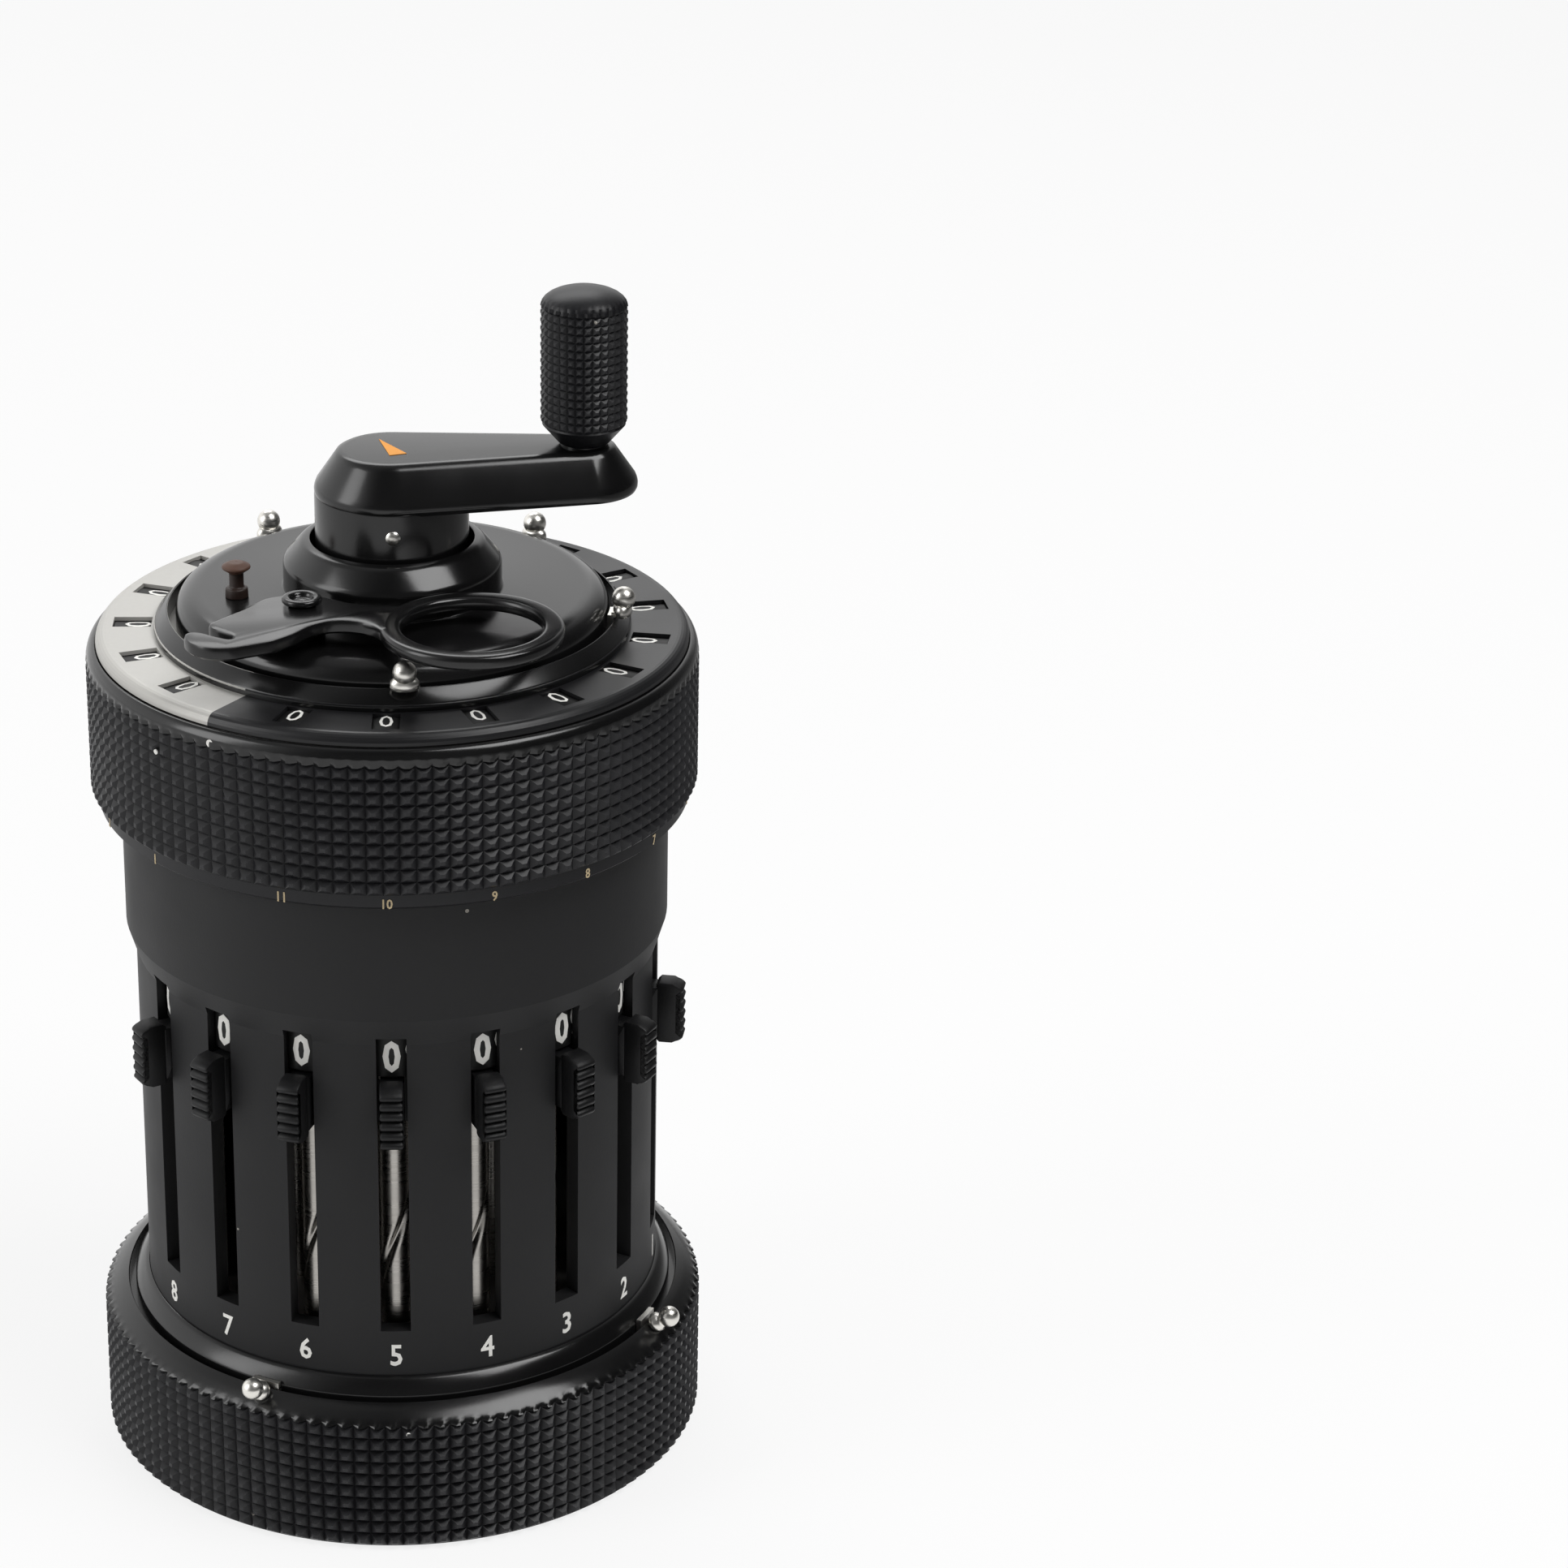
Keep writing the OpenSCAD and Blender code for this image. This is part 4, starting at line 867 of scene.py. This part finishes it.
def on_tube(text, turn, height, radius, z, narrow=0.86, bold=0.02):
    """A figure laid round an upright cylinder: x becomes the angle x / r, and t is added to the radius."""
    x, y, t, faces = figure(text, height, narrow, bold)
    a = math.radians(turn) + x / radius
    return grid((radius + t) * np.sin(a), -(radius + t) * np.cos(a), z + y), faces


for n in PLACES:
    rolled = [on_tube(str(d), slot_turn(n) - DIGIT_STEP * d, **DRUM_FIGURE) for d in DIGITS]
    digits = shifted(join(*rolled), *polar(SHAFT_DIST, slot_turn(n)))
    make_piece(f"drum_digits_{n}", digits, f"shaft_{n}", "paint_white", merge=True)
print("drums with digits:", len(PLACES))

# %% Numbers on the dials
DIAL_R, DIAL_Z, DIAL_MID, DIAL_DIGIT_H, DIAL_NARROW, DIAL_SINK = 3.3, 73.45, 21.95, 2.3, 0.8, 0.02
FIRST_RESULT, FIRST_COUNTER, DIAL_PITCH = 170, -60, 20
dials = [("result", k, FIRST_RESULT - DIAL_PITCH * (k - 1)) for k in range(1, 12)]
dials += [("counter", k, FIRST_COUNTER - DIAL_PITCH * (k - 1)) for k in range(1, 7)]


def on_dial(text, digit_angle, turn):
    """A figure laid over a dial with an outward axis: y points back along the axis, x becomes the angle
    x / r. It stands 5 micrometres proud, so that it passes the window's edges as the dial does."""
    x, y, t, faces = figure(text, DIAL_DIGIT_H, DIAL_NARROW, 0.0)
    a = math.radians(digit_angle) + x / DIAL_R
    r = DIAL_R + t - DIAL_SINK
    return at_turn((grid(DIAL_MID - y, r * np.sin(a), DIAL_Z + r * np.cos(a)), faces), turn)


for kind, k, turn in dials:
    rolled = [on_dial(str(d), DIGIT_STEP * d, turn) for d in DIGITS]
    make_piece(f"{kind}_digits_{k}", join(*rolled), f"{kind}_{k}", "paint_white", merge=True)
print("dials with digits:", len(dials))

# %% Numbers on the case and the carriage band
PLACE_FIGURE = dict(height=2.1, radius=CASE_R, z=17.4)
BAND_FIGURE = dict(height=0.9, radius=BAND_R, z=62.0)
place_numbers = [on_tube(str(n), slot_turn(n), **PLACE_FIGURE) for n in PLACES]
make_piece("place_numbers", join(*place_numbers), "root", "paint_white", merge=True)
band_numbers = [on_tube(str(k), turn, **BAND_FIGURE) for kind, k, turn in dials]
make_piece("carriage_numbers", join(*band_numbers), "carriage", "paint_gold", merge=True)
print("numbers:", len(place_numbers), "on the case,", len(band_numbers), "on the band")


# %% Index dots and the arrow
def dot(radius, turn, z, size, sides=16):
    """A round spot of paint on a cylinder: a circle whose x becomes the angle x / r, once sunk and once
    proud."""
    a = np.linspace(0, 2 * np.pi, sides, endpoint=False)
    around = math.radians(turn) + size * np.cos(a) / radius
    r = np.array([[radius - PAINT_T], [radius + PAINT_T]])
    points = grid(r * np.sin(around), -r * np.cos(around), z + size * np.sin(a))
    return points, capped_faces(2, sides)


SHOULDER_DOT = dict(radius=26.36, turn=-43.2, z=74.85, size=0.34)
KNURL_DOT = dict(radius=RING_R - 0.02, turn=-56.5, z=72.5, size=0.22)
BASE_DOT = dict(radius=BASE_R - 0.1, turn=-7.7, z=11.8, size=0.2)
ARROW = [(-0.67, 2.42), (-0.39, -1.91), (1.10, -1.64)]
make_piece("index_dots", join(dot(**SHOULDER_DOT), dot(**KNURL_DOT)), "carriage", "paint_white", merge=True)
make_piece("base_index", dot(**BASE_DOT), "root", "paint_white", merge=True)
arrow = plate(ARROW, [(0.0, ARM_TOP - PAINT_T), (0.0, ARM_TOP + PAINT_T)])
make_piece("direction_arrow", arrow, "crank", "paint_orange", merge=True)
print("marks: two dots, a base index and an arrow of", len(arrow[1]), "faces")

# %% [markdown]
# ## Studio
# The camera stands where the photograph's did: its height, distance and slight roll come from a fit to the
# outline. A pale floor keeps a soft shadow. Black gloss is drawn by what it reflects, and lamps alone would
# leave it empty. So the room is white behind and to the left, and dark in front, to the right and overhead,
# with three soft boxes, and the floor, as gloss sees it, gets darker to the right too.

# %% Camera
EYE, HEADING, TILT, ROLL = Vector((-0.04991, -0.35187, 0.21559)), -13.58, 66.594, 1.2817
SENSOR_W, LENS, CLIP_START = 36.0, 100.69, 0.01
camera = in_scene("camera", bpy.data.cameras.new("camera"))
turn_to = (Matrix.Rotation(math.radians(HEADING), 4, "Z") @ Matrix.Rotation(math.radians(TILT), 4, "X")
           @ Matrix.Rotation(math.radians(ROLL), 4, "Z"))
camera.matrix_world = Matrix.Translation(EYE) @ turn_to
camera.data.sensor_width, camera.data.lens, camera.data.clip_start = SENSOR_W, LENS, CLIP_START
bpy.context.scene.camera = camera
print("camera:", round(EYE.length, 3), "m from the middle of the base, lens", LENS, "mm")

# %% Floor
FLOOR_HALF, FLOOR_SHADE, FLOOR_ROUGH, FLOOR_SPECULAR, GLOW_SHARE = 3.0, 0.90, 0.9, 0.1, 0.82
DIM_X, DIM_LEVEL = (0.04, 0.16), (1.0, 0.12)
WHITE = (1.0, 1.0, 1.0, 1.0)


def seen_rays(tree):
    """1 for rays from the camera, off gloss or through glass, and 0 for the rays that light the object."""
    path = add(tree, "ShaderNodeLightPath").outputs
    both = worked(tree, "MAXIMUM", path["Is Camera Ray"], path["Is Glossy Ray"])
    return worked(tree, "MAXIMUM", both, path["Is Transmission Ray"])


floor_mesh = bpy.data.meshes.new("floor")
corners = [(x * FLOOR_HALF, y * FLOOR_HALF, 0.0) for x, y in ((-1, -1), (1, -1), (1, 1), (-1, 1))]
floor_mesh.from_pydata(corners, [], [(0, 1, 2, 3)])
floor = in_scene("floor", floor_mesh)
floor_paint, tree, shader = start_material("floor_white")
shader.inputs["Base Color"].default_value = toned([FLOOR_SHADE] * 3, 1)
shader.inputs["Roughness"].default_value = FLOOR_ROUGH
shader.inputs["Specular IOR Level"].default_value = FLOOR_SPECULAR
floor_mesh.materials.append(floor_paint)
across = add(tree, "ShaderNodeSeparateXYZ", {0: object_place(tree)}).outputs[0]
dim = ranged(tree, across, DIM_X, DIM_LEVEL)
bright = worked(tree, "MAXIMUM", add(tree, "ShaderNodeLightPath").outputs["Is Camera Ray"], dim)
glow = add(tree, "ShaderNodeEmission", {"Color": WHITE, "Strength": bright})
share = worked(tree, "MULTIPLY", seen_rays(tree), GLOW_SHARE)
blend = add(tree, "ShaderNodeMixShader", {0: share, 1: shader.outputs[0], 2: glow.outputs[0]})
tree.links.new(blend.outputs[0], tree.nodes["Material Output"].inputs["Surface"])
print("floor:", 2 * FLOOR_HALF, "m wide")

# %% Room
LEFT_SHARE, BACK_SHARE = -0.5, 0.9
WALL_TURN, WALL_LEVEL = (-0.40, 0.30), (0.10, 1.1)
ROOF_RISE, ROOF_LEVEL = (0.45, 0.85), (1.0, 0.35)
CARD_X, CARD_LEVEL = (0.32, 0.70), (1.0, 0.12)
LIT_LEVEL = (0.18, 0.50)
bpy.context.scene.world = bpy.data.worlds.new("room")
bpy.context.scene.world.use_nodes = True
room = bpy.context.scene.world.node_tree
way = add(room, "ShaderNodeSeparateXYZ", {0: add(room, "ShaderNodeTexCoord").outputs["Generated"]}).outputs
leftward = worked(room, "MULTIPLY", way[0], LEFT_SHARE)
behind = worked(room, "MULTIPLY_ADD", way[1], BACK_SHARE, leftward)
wall = ranged(room, behind, WALL_TURN, WALL_LEVEL, interpolation_type="SMOOTHSTEP")
roof = ranged(room, way[2], ROOF_RISE, ROOF_LEVEL)
card = ranged(room, way[0], CARD_X, CARD_LEVEL)
shown = worked(room, "MULTIPLY", wall, worked(room, "MULTIPLY", roof, card))
lit = ranged(room, wall, WALL_LEVEL, LIT_LEVEL)
level = ranged(room, seen_rays(room), (0.0, 1.0), (lit, shown))
room.links.new(level, room.nodes["Background"].inputs["Strength"])
room.nodes["Background"].inputs["Color"].default_value = WHITE
print("room: its walls light the object at", LIT_LEVEL, "and show in gloss at", WALL_LEVEL)

# %% Soft boxes
AIM = Vector((0.0, 0.0, 0.05))
SOFT_BOXES = {
    "key_right": dict(place=(0.31, -0.23, 0.67), size=(0.40, 0.36), power=3.0),
    "fill_left": dict(place=(-0.65, -0.10, 0.40), size=(0.30, 0.50), power=1.6),
    "top_back": dict(place=(0.00, 0.55, 0.62), size=(0.50, 0.30), power=1.4),
}


def soft_box(name, place, size, power):
    """A rectangular lamp at a place, turned to face the aim."""
    lamp = bpy.data.lights.new(name, "AREA")
    lamp.shape, lamp.size, lamp.size_y, lamp.energy = "RECTANGLE", size[0], size[1], power
    holder = in_scene(name, lamp)
    holder.location = place
    holder.rotation_euler = (AIM - Vector(place)).to_track_quat("-Z", "Y").to_euler()


for name, values in SOFT_BOXES.items():
    soft_box(name, **values)
bpy.context.scene.view_settings.view_transform = "Standard"
print("soft boxes:", list(SOFT_BOXES))
